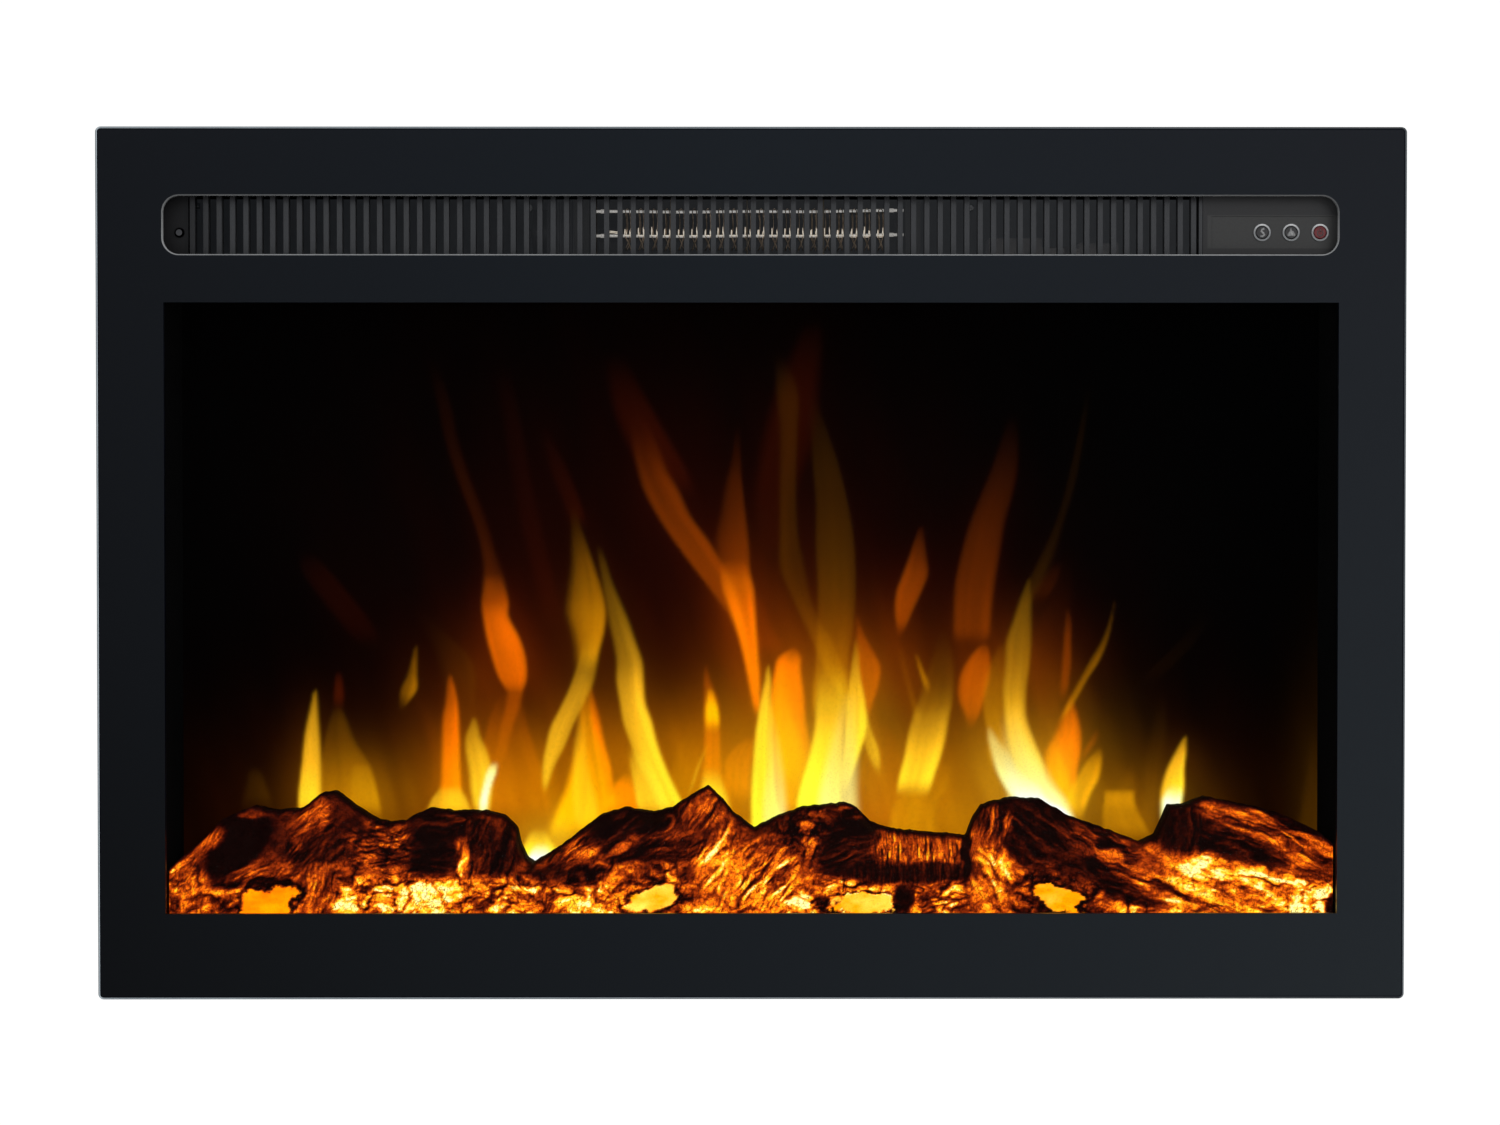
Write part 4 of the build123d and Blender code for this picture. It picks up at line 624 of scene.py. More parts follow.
def glass_plate(bm, rings, material, faces_back):
    """A flat face between an outer ring and the rings of its holes."""
    edges = []
    for loop in rings:
        for first, second in zip(loop, loop[1:] + loop[:1]):
            edges.append(bm.edges.get((first, second)) or bm.edges.new((first, second)))
    made = bmesh.ops.triangle_fill(bm, use_beauty=True, use_dissolve=False, edges=edges)
    for face in (item for item in made["geom"] if isinstance(item, bmesh.types.BMFace)):
        face.material_index = material
        face.normal_update()
        if (face.normal.y > 0) != faces_back:
            face.normal_flip()


def finish_mesh(bm, name, finishes, body="root"):
    """Turns a bmesh into a piece with several finishes."""
    mesh = bpy.data.meshes.new(name)
    bm.to_mesh(mesh)
    bm.free()
    piece = bpy.data.objects.new(name, mesh)
    bpy.context.scene.collection.objects.link(piece)
    for finish in finishes:
        mesh.materials.append(FINISHES[finish].material)
    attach(piece, body)
    return piece


def glass_openings(low, high):
    """The air slot's and the window's boxes (low x, high x, low z, high z) in the panel."""
    slot_top = high.z - SLOT_ABOVE * MM
    slot = (low.x + SLOT_LEFT * MM, high.x - SLOT_RIGHT * MM, slot_top - SLOT_HEIGHT * MM, slot_top)
    sill = low.z + WINDOW_BELOW * MM
    window = (low.x + WINDOW_SIDE * MM, high.x - WINDOW_SIDE * MM, sill, sill + WINDOW_HEIGHT * MM)
    return slot, window


def glass_border():
    """The enamelled border of the tempered panel, with ground edges outside and round the slot, and painted
    shade.
    """
    low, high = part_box("front_glass")
    front, back = low.y, high.y
    outer = (low.x, high.x, low.z, high.z)
    slot, window = glass_openings(low, high)
    bevel, slot_bevel = BEVEL * MM, SLOT_BEVEL * MM
    bm = bmesh.new()
    outline = [(front, bevel + SHADED_EDGE * MM), (front, bevel), (front + bevel / 2, bevel / 2),
               (front + bevel, 0.0), (back - bevel, 0.0), (back, bevel)]
    rings = [glass_ring(bm, outer, PANEL_CORNER * MM, y, inset) for y, inset in outline]
    slot_outline = [(front, -slot_bevel), (front + slot_bevel, 0.0),
                    (back - slot_bevel, 0.0), (back, -slot_bevel)]
    slot_rings = [glass_ring(bm, slot, SLOT_CORNER * MM, y, inset) for y, inset in slot_outline]
    window_rings = [glass_ring(bm, window, WINDOW_CORNER * MM, y, 0.0, 1) for y in (front, back)]
    enamel, ground, cut, shaded = range(4)
    glass_plate(bm, [rings[0], slot_rings[0], window_rings[0]], enamel, False)
    glass_plate(bm, [rings[-1], slot_rings[-1], window_rings[-1]], enamel, True)
    for first, second, material in zip(rings, rings[1:], (shaded, ground, ground, ground, ground)):
        glass_wall(bm, first, second, material, True)
    for first, second in zip(slot_rings, slot_rings[1:]):
        glass_wall(bm, first, second, cut)
    glass_wall(bm, *window_rings, shaded)
    finishes = ("enamel", "glass_edge", "cut_edge", "edge_shade")
    border = finish_mesh(bm, "glass_border", finishes)
    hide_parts("front_glass")
    set_floats(border.data, "gather", [edge_gather(v.co, outer, slot) for v in border.data.vertices])


def glass_window():
    """The clear pane, a hair inside the border."""
    low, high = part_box("front_glass")
    window = glass_openings(low, high)[1]
    gap, bevel = PANE_GAP * MM, PANE_BEVEL * MM
    bm = bmesh.new()
    steps = ((low.y + gap, bevel), (low.y + bevel, gap), (high.y - bevel, gap), (high.y - gap, bevel))
    rings = [glass_ring(bm, window, PANE_CORNER * MM, y, inset, 3) for y, inset in steps]
    bm.faces.new(rings[0])
    bm.faces.new(rings[-1][::-1])
    for first, second in zip(rings, rings[1:]):
        glass_wall(bm, first, second, 0, True)
    finish_mesh(bm, "glass_window", ("pane",))


# Painted light on each side's edge: at its outline, half-way down its bevel, and where the face begins.
EDGE_LIGHT = {"left": (0.10, 0.45, 1.0), "right": (0.13, 0.11, 0.10),
              "bottom": (0.001, 0.01, 0.07), "top": (0.001, 0.001, 0.001)}
# Painted light on the slot's cut edge, with more towards its lower side and towards its left end.
SLOT_LIGHT, SLOT_LIGHT_BELOW, SLOT_LIGHT_LEFT = 0.20, 0.26, 0.05

# In mm: how far round the slot its own painted light holds, over what length its left end is brighter, and
# how deep the painted light of a side is full and has gone.
SLOT_ROUND, SLOT_END, LIGHT_FULL, LIGHT_GONE = 2, 6, 1, 5


def edge_gather(point, outer, slot):
    """How much painted light an edge of the glass carries at a point, for the outline and for the slot."""
    round_it = SLOT_ROUND * MM
    if slot[2] - round_it < point.z < slot[3] + round_it and abs(point.x) < slot[1] + round_it:
        low_side = ease((slot[3] - point.z) / (slot[3] - slot[2]))
        left_side = ease((slot[0] + SLOT_END * MM - point.x) / (SLOT_END * MM))
        return float(SLOT_LIGHT + SLOT_LIGHT_BELOW * low_side + SLOT_LIGHT_LEFT * left_side)
    depths = {"left": point.x - outer[0], "right": outer[1] - point.x,
              "bottom": point.z - outer[2], "top": outer[3] - point.z}
    total, weight = 0.0, 1e-6
    for side, depth in depths.items():
        near = float(ease((LIGHT_GONE * MM - depth) / ((LIGHT_GONE - LIGHT_FULL) * MM)))
        total += near * float(np.interp(depth, (0, BEVEL * MM / 2, BEVEL * MM), EDGE_LIGHT[side]))
        weight += near
    return total / weight


glass_border()
glass_window()

# -------- smooth noise over arrays


def scatter(ix, iy, seed):
    """A repeatable number from 0 to 1 for each cell of a plane."""
    value = np.sin(ix * 127.1 + iy * 311.7 + seed * 74.7) * 43758.5453
    return value - np.floor(value)


def value_noise(x, y, seed):
    """Smooth noise from 0 to 1 over a plane."""
    ix, iy = np.floor(x), np.floor(y)
    fx, fy = ease(x - ix), ease(y - iy)
    low = scatter(ix, iy, seed) * (1 - fx) + scatter(ix + 1, iy, seed) * fx
    high = scatter(ix, iy + 1, seed) * (1 - fx) + scatter(ix + 1, iy + 1, seed) * fx
    return low * (1 - fy) + high * fy


def cloud(x, y, seed, octaves=4):
    """Several layers of noise, each half as strong and twice as fine as the last."""
    total, weight = 0.0, 0.0
    for k in range(octaves):
        share = 0.55 ** k
        total = total + share * value_noise(x * 2 ** k + 13.7 * k, y * 2 ** k - 7.3 * k, seed + k)
        weight += share
    return total / weight


def turned(x, y, turn):
    """Coordinates along and across a direction, given as an angle in degrees."""
    c, s = math.cos(math.radians(turn)), math.sin(math.radians(turn))
    return x * c + y * s, y * c - x * s


def fibres(x, y, turn, across, along, seed):
    """Split and charred wood grain: warped strands along a direction, with their spacing and length."""
    run, side = turned(x, y, turn)
    slow = cloud(run / (along * 1.5), side / (across * 4), seed + 40, 3) - 0.5
    quick = cloud(run / (along * 0.4), side / (across * 1.6), seed + 50, 2) - 0.5
    side = side + across * (4.5 * slow + 1.3 * quick)
    strand = cloud(run / along, side / across, seed, 4)
    ridge = 1 - np.abs(2 * cloud(run / (along * 0.8), side / (across * 1.5), seed + 20, 3) - 1) * 2.2
    return np.clip(0.5 + 1.5 * (strand - 0.5) + 0.45 * (ridge - 0.45), 0, 1)


def lumps(x, y, size, seed):
    """Puffs of ash and coal with dark creases between them."""
    warp_x = cloud(x / size * 0.8, y / size * 0.8, seed + 9, 3) - 0.5
    warp_y = cloud(y / size * 0.8, x / size * 0.8, seed + 19, 3) - 0.5
    total, weight = 0.0, 0.0
    for k in range(4):
        fine, share = 2.1 ** k / size, 0.58 ** k
        puff = np.abs(2 * value_noise((x + 1.4 * size * warp_x) * fine, (y + 1.4 * size * warp_y) * fine,
                                      seed + 3 * k) - 1)
        total = total + share * puff
        weight += share
    return np.clip(total / weight * 1.9 - 0.25, 0, 1)


def blend_colours(value, stops):
    """Colours of an array of values, between (place, (r, g, b)) stops."""
    places = [p for p, _ in stops]
    return np.stack([np.interp(value, places, [c[k] for _, c in stops]) for k in range(3)], axis=-1)


# -------- the log set
# The logs are one moulded shell, seen from the front. Its crest line is (x, z) in mm, left to right.

CREST = [(-344, 48), (-333, 59), (-317, 75), (-299, 82), (-287, 79.5), (-270, 81), (-258, 90), (-250, 91),
         (-239, 82), (-225, 74), (-218, 72), (-209, 73), (-194, 81), (-180, 79), (-160, 79), (-149, 76.5),
         (-141, 69), (-139, 60), (-135, 51), (-131, 48), (-114, 58.5), (-103, 67), (-90, 77), (-75, 81),
         (-59, 78), (-47, 81), (-34, 90), (-26, 94), (-17, 86), (-11, 78), (2, 69), (18, 76.5), (31, 81),
         (43, 82.5), (57, 84), (64, 81), (72, 72), (88, 67.5), (94, 67), (123, 64.5), (130, 64), (134, 75),
         (139, 82.5), (157, 87), (174, 86), (192, 76), (211, 69), (235, 60), (244, 64.5), (249, 75),
         (252, 82.5), (260, 82.5), (274, 87.5), (287, 85), (310, 80), (325, 75), (337, 69), (344, 63)]

# Rounded bodies in the shell: ends (x, z), then the radius at each end, all in mm.
LOG_BODIES = [
    (-335, 34, -290, 58, 20, 26), (-290, 58, -235, 60, 22, 22), (-262, 62, -250, 84, 16, 7),
    (-240, 52, -160, 55, 23, 24), (-125, 34, -75, 58, 16, 23), (-75, 58, -25, 70, 22, 18),
    (10, 48, 60, 60, 24, 22), (60, 46, 126, 44, 22, 21), (150, 66, 344, 24, 21, 18),
    (262, 64, 344, 44, 20, 22), (-344, 22, 344, 20, 13, 13),
]

# Glowing knot holes: centre, half width, half height in mm, how yellow, and the turn in degrees.
KNOT_HOLES = [(-288, 26.5, 16.5, 9.6, 0.16, 15), (-59.5, 29.5, 14.5, 6.6, 0.95, 14),
              (66, 27.0, 19.0, 5.8, 0.80, 0), (184, 30.0, 15.5, 7.6, 0.42, -8)]

# Patches of the crust: (x, z, half width, half height, turn, heat, kind, grain direction).
PATCHES = [
    (-334, 42, 13, 20, 0, 0.66, "lumps", 45), (-325, 60, 12, 5, 35, 0.60, "fibres", 40),
    (-301, 66, 14, 12, 0, 0.00, "smooth", 0), (-316, 51, 10, 8, 0, 0.02, "smooth", 0),
    (-299, 79.5, 10, 2.6, 0, 0.52, "smooth", 0), (-266, 73, 16, 12, 20, 0.33, "fibres", 38),
    (-241, 78, 9, 10, 0, 0.29, "smooth", 60), (-262, 58, 20, 8, 0, 0.15, "fibres", 50),
    (-283, 61, 5, 12, -30, 0.34, "smooth", 50), (-220, 62, 21, 12, 0, 0.42, "bark", 8),
    (-189, 63, 12, 16, 0, 0.05, "fibres", 0), (-165, 77.5, 16, 2.4, 0, 0.42, "fibres", 2),
    (-155, 62, 17, 14, 0, 0.17, "fibres", 80), (-171, 52, 4, 10, 15, 0.60, "fibres", 75),
    (-187, 30, 54, 11, 0, 0.74, "lumps", 0), (-195, 28, 20, 8, 0, 0.88, "lumps", 0),
    (-296, 45, 25, 7, 10, 0.33, "fibres", 20), (-259, 36, 9, 16, 0, 0.40, "fibres", 72),
    (-326, 28, 20, 8, 0, 0.60, "lumps", 0), (-108, 55, 20, 8, 28, 0.45, "fibres", 28),
    (-76, 68, 19, 11, 0, 0.03, "fibres", 20), (-74, 61, 9, 2.4, 28, 0.72, "smooth", 28),
    (-108, 43, 15, 6, 0, 0.20, "lumps", 0), (-105, 30, 26, 8, 0, 0.72, "lumps", 0),
    (-55, 38, 22, 12, 0, 0.56, "lumps", 30), (-48, 62, 17, 9, 0, 0.25, "fibres", 25),
    (-27, 82, 14, 10, 0, 0.33, "fibres", 58), (-20, 52, 13, 21, 0, 0.64, "fibres", 55),
    (12, 45, 20, 18, 0, 0.66, "fibres", 50), (42, 78, 22, 6, 0, 0.36, "lumps", 0),
    (30, 66, 16, 10, 0, 0.36, "cells", 0), (58, 61, 16, 12, 0, 0.05, "fibres", 10),
    (97, 59, 27, 8, 0, 0.46, "planed", 90), (95, 45, 32, 5, 0, 0.05, "planed", 90),
    (90, 31, 60, 9, 0, 0.66, "lumps", 0), (28, 26, 8, 5, 0, 0.92, "lumps", 0),
    (91, 30, 4.5, 6, 0, 0.05, "smooth", 0), (128, 54, 2.0, 12, 0, 0.04, "smooth", 0),
    (141, 44, 12, 20, 0, 0.68, "fibres", -62), (171, 69, 19, 17, 0, 0.10, "fibres", -40),
    (147, 72, 8, 9, 0, 0.38, "fibres", 70), (217, 60, 27, 8, -22, 0.34, "fibres", -24),
    (285, 43, 62, 7, -16, 0.84, "fibres", -18), (255, 33, 56, 8, -13, 0.62, "fibres", -24),
    (208, 42, 28, 6, -25, 0.10, "fibres", -27), (182, 31, 25, 13, 0, 0.38, "lumps", 0),
    (330, 29, 13, 9, 0, 0.92, "lumps", 0), (343, 25, 4, 6, 0, 0.05, "smooth", 0),
    (256, 67, 12, 13, 0, 0.03, "fibres", 80), (308, 71, 38, 8, -18, 0.42, "fibres", -24),
    (288, 59, 30, 6, -14, 0.17, "fibres", -18), (326, 53, 16, 8, -18, 0.46, "fibres", -24),
]

# Colours of the glow, from charred to white-hot.
EMBER_GLOW = [
    (0.0, (0.003, 0.0005, 0.0004)), (0.12, (0.014, 0.0012, 0.0006)), (0.24, (0.050, 0.0042, 0.0009)),
    (0.36, (0.135, 0.0120, 0.0014)), (0.48, (0.31, 0.034, 0.002)), (0.60, (0.60, 0.088, 0.0028)),
    (0.72, (0.90, 0.180, 0.003)), (0.84, (1.0, 0.35, 0.006)), (0.98, (1.0, 0.60, 0.02)),
    (1.22, (1.0, 0.90, 0.32)),
]


def turned_reach(x, z, patch):
    """How far each point is from a patch's middle, 1 at its edge."""
    px, pz, half_x, half_z, turn = patch[:5]
    along, aside = turned(x - px, z - pz, turn)
    return (along / half_x) ** 2 + (aside / half_z) ** 2


def crust_relief(kind, turn, x, z, seed):
    """The relief of one kind of crust, from 0 in its cracks to 1 on its ridges."""
    if kind == "fibres":
        return 0.72 * fibres(x, z, turn, 3.6, 24, seed) + 0.28 * fibres(x, z, turn + 9, 1.7, 8, seed + 60)
    if kind == "bark":
        return 0.6 * lumps(x / 2.4, z + 0.12 * x, 3.4, seed) + 0.4 * fibres(x, z, turn, 1.8, 9, seed)
    if kind == "planed":
        return 0.35 + 0.65 * fibres(x, z, 90, 0.9, 14, seed) - 0.2 * cloud(x / 9, z / 2, seed)
    if kind == "lumps":
        return 0.7 * lumps(x, z * 1.2, 10.0, seed) + 0.45 * (cloud(x / 4.5, z / 3.0, seed + 70, 3) - 0.18)
    if kind == "cells":
        return lumps(x, z, 8.0, seed)
    return 0.30 + 0.35 * cloud(x / 4, z / 3, seed, 3)


def crust_texture(kind, turn, x, z, cache):
    """The relief of one kind of crust, worked out once for each kind and direction of grain."""
    key = (kind, turn)
    if key not in cache:
        cache[key] = crust_relief(kind, turn, x, z, len(cache) * 3 + 11)
    return cache[key]


def log_bulge(x, z):
    """How far the rounded bodies of the logs stand out, in mm."""
    bulge = np.zeros(x.shape)
    for x1, z1, x2, z2, r1, r2 in LOG_BODIES:
        length = math.hypot(x2 - x1, z2 - z1)
        t = np.clip(((x - x1) * (x2 - x1) + (z - z1) * (z2 - z1)) / length ** 2, 0, 1)
        away = np.hypot(x - x1 - t * (x2 - x1), z - z1 - t * (z2 - z1))
        radius = r1 + (r2 - r1) * t
        bulge = np.maximum(bulge, np.sqrt(np.clip(radius ** 2 - away ** 2, 0, None)))
    return bulge


def crust_patches(x, z):
    """Heat and relief of the crust, blended between its patches."""
    cache = {}
    weight = np.full(x.shape, 0.05)
    heat = weight * np.interp(z, [15, 40, 65], [0.72, 0.45, 0.2])
    relief = weight * crust_texture("lumps", 0, x, z, cache)
    wander_x = x + 5 * (cloud(x / 9, z / 7, 201, 3) - 0.5)
    wander_z = z + 4 * (cloud(x / 8, z / 6, 211, 3) - 0.5)
    for patch in PATCHES:
        near = np.exp(-1.3 * turned_reach(wander_x, wander_z, patch) ** 1.5)
        near = near * (260 / (patch[2] * patch[3])) ** 0.7
        weight += near
        heat += near * patch[5]
        relief += near * crust_texture(patch[6], patch[7], x, z, cache)
    return heat / weight, relief / weight


def log_surface(x, z):
    """Heat, relief, holes, how yellow they are, and bulge of the logs' front, over x and z in mm."""
    heat, relief = crust_patches(x, z)
    bulge = log_bulge(x, z)
    hole, yellow = np.zeros(x.shape), np.zeros(x.shape)
    for hx, hz, half_x, half_z, tint, turn in KNOT_HOLES:
        ragged = 0.55 * (cloud(x / 3, z / 2.5, hx, 4) - 0.5)
        ragged = ragged + 0.9 * (cloud(x / 13, z / 9, hx + 8, 2) - 0.5)
        along, aside = turned(x - hx, z - hz, turn)
        reach = (np.abs(along / half_x) ** 2.6 + np.abs(aside / half_z) ** 2.6) ** (1 / 2.6) + ragged
        inside = ease((1.0 - reach) / 0.10)
        rim = np.exp(-((reach - 1.16) / 0.13) ** 2) * (0.45 + cloud(x / 6, z / 6, hx + 3, 2))
        heat = heat * (1 - 0.75 * rim * ease((reach - 1.0) / 0.1))
        yellow = np.where(inside > hole, tint, yellow)
        hole = np.maximum(hole, inside)
        bulge = bulge + 2.0 * rim
    return heat, relief, hole, yellow, bulge


def log_top(x):
    """Height of the crest, with the ragged edge of charred wood."""
    ragged = 1.5 * (cloud(x / 3.2, x * 0, 3, 4) - 0.55)
    return np.interp(x, [p[0] for p in CREST], [p[1] for p in CREST]) + ragged


def log_colours(x, z):
    """Colour of the light that leaves the logs' front, and the surface it was worked out from."""
    surface = log_surface(x, z)
    heat, relief, hole, yellow = surface[:4]
    # Painted light and shade: lit_side embosses the relief into the glow, as if lit from the upper left.
    lit_side = relief - np.roll(relief, (-2, 1), (0, 1))
    heat = heat ** 1.3
    contrast = 0.42 + 0.66 * heat
    shade = 0.03 + 1.02 * heat + contrast * 1.25 * (relief - 0.52) + 0.5 * lit_side * (0.2 + heat)
    shade = shade * (0.66 + 0.68 * cloud(x / 16, z / 9, 91, 3))
    hot = ease((cloud(x / 4.2, z / 2.6, 131, 3) - 0.55) / 0.16) * ease((heat - 0.42) / 0.3)
    shade = shade + 0.40 * hot * relief
    down = log_top(x[:1]) - z
    shade = 1.1 * shade * (0.2 + 0.8 * ease(down / 3.0)) - 0.055
    colour = blend_colours(shade, EMBER_GLOW)
    pale = 0.55 + 0.9 * cloud(x / 11, z / 6, 51, 3)
    amber = [0.78 + 0.2 * pale, (0.16 + 0.30 * yellow) * pale ** 1.4, 0.05 * yellow * pale ** 3 - 0.02]
    amber = np.clip(np.stack(amber, -1), 0, None)
    return colour * (1 - hole[..., None]) + amber * hole[..., None], surface


# The shell of the logs in mm: size of its grid, rows up its front and back, room left round it in its box.
LOG_STEP, LOG_ROWS, LOG_BACK_ROWS, LOG_MARGIN = 0.8, 104, 9, 0.3

# Depth of its crest, how far its foot stands before that, the share of a bulge that stands out, and the
# depths of holes and of the hollow in the left end, which is (x, z, half width, half height, turn).
CREST_DEPTH, FOOT_REACH, BULGE_SHARE, HOLE_DEPTH, HOLLOW_DEPTH = -40, 19, 0.62, 9.0, 10
END_HOLLOW = (-301, 66, 13, 11, 0)

# Height up to which its foot leans back, the share of its height where it starts to curl in at the crest,
# its rearmost depth above the diffuser, where its ends start to close and over what length, and the depth
# of the crust's relief. Then for its back: its drop below the crest, its gap to the rear of the box, and
# how far it curls in at its top.
LEAN_HEIGHT, CURL_FROM, REAR_LIMIT, ENDS_FROM, ENDS_OVER, RELIEF_DEPTH = 75, 0.86, -26, 326, 14, 1.5
BACK_DROP, BACK_GAP, BACK_CURL = 0.6, 1.0, 3.0


def log_depths(x, z, up, surface, low, floor_z):
    """How far back the logs' front lies, in mm: bulged, hollowed at holes, curled back at the crest."""
    relief, hole, bulge = surface[1], surface[2], surface[4]
    lean = CREST_DEPTH - FOOT_REACH * (1 - np.clip((z - floor_z) / LEAN_HEIGHT, 0, 1))
    hollow = np.exp(-turned_reach(x, z, END_HOLLOW) ** 2)
    curl = ease((up - CURL_FROM) / (1 - CURL_FROM)) ** 2
    y = lean - BULGE_SHARE * bulge + HOLE_DEPTH * hole + HOLLOW_DEPTH * hollow
    y = y * (1 - curl) + CREST_DEPTH * curl
    front_limit, diffuser = low.y / MM + LOG_MARGIN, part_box("ember_diffuser")
    diffuser_top, diffuser_front = diffuser[1].z / MM, diffuser[0].y / MM
    behind = np.interp(z, [diffuser_top + 1, diffuser_top + 8], [diffuser_front - 0.7, REAR_LIMIT])
    room = behind - front_limit
    ends = ease((np.abs(x) - ENDS_FROM) / ENDS_OVER)
    y = y * (1 - ends) + (front_limit + 1.0) * ends
    depth = room * np.tanh(np.clip(y - front_limit, 0, None) / room) - RELIEF_DEPTH * (relief - 0.4)
    return front_limit + np.clip(depth, 0, room)


def shell_faces(rows, columns):
    """Faces of a closed shell: its rows run up the front and down the back, then its base and two ends."""
    last = (rows - 1) * columns
    base = [(c + 1, c, last + c, last + c + 1) for c in range(columns - 1)]
    ends = []
    for c, flip in ((0, False), (columns - 1, True)):
        loop = [r * columns + c for r in range(rows)]
        for k in range(rows // 2):
            quad = [loop[k], loop[rows - 1 - k], loop[rows - 2 - k], loop[k + 1]]
            quad = list(dict.fromkeys(quad))
            if len(quad) >= 3:
                ends.append(quad[::-1] if flip else quad)
    return [tuple(q) for q in grid_faces(rows, columns)] + base + ends


def front_values(values, count, fill):
    """Values of the front's points, followed by a fill for the rest of a piece's points."""
    full = np.full((count, *values.shape[2:]), fill, float)
    full[:values.shape[0] * values.shape[1]] = values.reshape(-1, *values.shape[2:])
    return full


def log_set():
    """The moulded logs and ember bed, as one closed shell with a detailed front."""
    low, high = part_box("log_set")
    floor_z = low.z / MM
    columns = int((high.x - low.x) / MM / LOG_STEP) + 1
    x_line = np.linspace(low.x / MM + LOG_MARGIN, high.x / MM - LOG_MARGIN, columns)
    top = log_top(x_line)
    up = np.linspace(0, 1, LOG_ROWS)[:, None]
    x = np.repeat(x_line[None, :], LOG_ROWS, axis=0)
    z = floor_z + (top[None, :] - floor_z) * up
    colour, surface = log_colours(x, z)
    front = np.stack([x, log_depths(x, z, up, surface, low, floor_z), z], -1).reshape(-1, 3)
    down = np.linspace(1, 0, LOG_BACK_ROWS)[:, None]
    back_x = np.repeat(x_line[None, :], LOG_BACK_ROWS, axis=0)
    back_z = floor_z + (top[None, :] - BACK_DROP - floor_z) * down
    back_y = np.full(back_x.shape, high.y / MM - BACK_GAP) - BACK_CURL * ease((down - 0.8) / 0.2)
    back = np.stack([back_x, back_y, back_z], -1).reshape(-1, 3)
    points = np.vstack([front, back]) * MM
    faces = shell_faces(LOG_ROWS + LOG_BACK_ROWS, columns)
    piece = add_piece("log_set_shell", points, faces, "ember_crust")
    set_colours(piece.data, "glow", front_values(colour, len(points), 0.0))
    set_floats(piece.data, "relief", front_values(surface[1], len(points), 0.0))
    set_floats(piece.data, "crust", front_values(1 - surface[2], len(points), 1.0))
    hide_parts("log_set")


def crust_finish():
    """Charred resin logs, lit from inside: the glow follows the relief and is split by fine cracks."""
    made = Finish("ember_crust")
    relief = made.attribute("relief")
    speck = made.noise(900, 5)
    made.paint(made.math("MULTIPLY", relief, speck),
               [(0.05, (0.0004, 0.0002, 0.0002)), (0.5, (0.003, 0.0010, 0.0005))])
    glow = made.attribute("glow", "Color")
    wander = made.node("ShaderNodeTexNoise")
    wander.inputs["Scale"].default_value = 160
    wander.inputs["Detail"].default_value = 4.0
    made.links.new(made.place, wander.inputs["Vector"])
    bent = made.mix(0.012, made.place, wander.outputs["Color"])
    gaps = made.cells(330, "DISTANCE_TO_EDGE", where=bent)
    cracks = made.ramp(gaps, [(0.0, (0.20, 0.13, 0.08)), (0.10, (1.0, 1.0, 1.0))])
    cracks = made.mix(made.attribute("crust"), (1.0, 1.0, 1.0), cracks)
    grain = made.span(made.noise(1300, 4, 0.7), 0.45, 1.55, 0.2, 0.8)
    grain = made.ramp(grain, BLACK_TO_WHITE)
    lit = made.mix(1.0, made.mix(1.0, glow, grain, "MULTIPLY"), cracks, "MULTIPLY")
    made.link(lit, "Emission Color")
    made.roughen(speck, 0.7, 0.95)
    return made.bump(speck, 0.25).set(Specular_IOR_Level=0.02, Emission_Strength=1.75)


FINISHES["ember_crust"] = crust_finish()
log_set()

# -------- the flame picture on the screen
# Light thrown on the screen. Each tongue is (hue, lean, softness of its left and right edge in mm,
# stations), and a station is (height z, left edge, right edge, glow) in mm. A tongue's place in the three
# lists also seeds its streaks.

# Spacing of the picture's points, reach of its blur and reach of its bloom, in mm, and the bloom's strength.
SCREEN_STEP, BLUR_REACH, BLOOM_REACH = 1.25, 0.7, 10
BLOOM = (0.11, 0.055, 0.01)

HUES = {"red": (1.0, 0.09, 0.0), "brown": (1.0, 0.13, 0.0), "orange": (1.0, 0.16, 0.0),
        "amber": (1.0, 0.29, 0.0), "olive": (0.95, 0.35, 0.002), "yellow": (1.0, 0.47, 0.012),
        "white": (1.0, 0.80, 0.22)}

# Mist between the tongues: middle x and z, half width and half height in mm, hue and strength.
MIST = [
    (-10, 62, 190, 60, "orange", 0.10), (-10, 165, 150, 80, "red", 0.013),
    (-60, 250, 140, 90, "red", 0.004), (-155, 84, 45, 34, "amber", 0.34),
    (-232, 84, 36, 24, "olive", 0.13), (-92, 90, 45, 38, "amber", 0.30),
    (-20, 92, 42, 38, "amber", 0.36), (40, 96, 45, 48, "yellow", 0.34), (112, 86, 40, 36, "amber", 0.36),
    (172, 92, 38, 38, "yellow", 0.34), (228, 72, 42, 28, "olive", 0.15),
    (5, 165, 32, 52, "orange", 0.10), (62, 158, 36, 34, "orange", 0.16),
    (150, 155, 40, 32, "orange", 0.09), (-150, 150, 42, 38, "orange", 0.05),
    (348, 66, 18, 70, "olive", 0.02), (-128, 52, 26, 18, "yellow", 0.5),
]

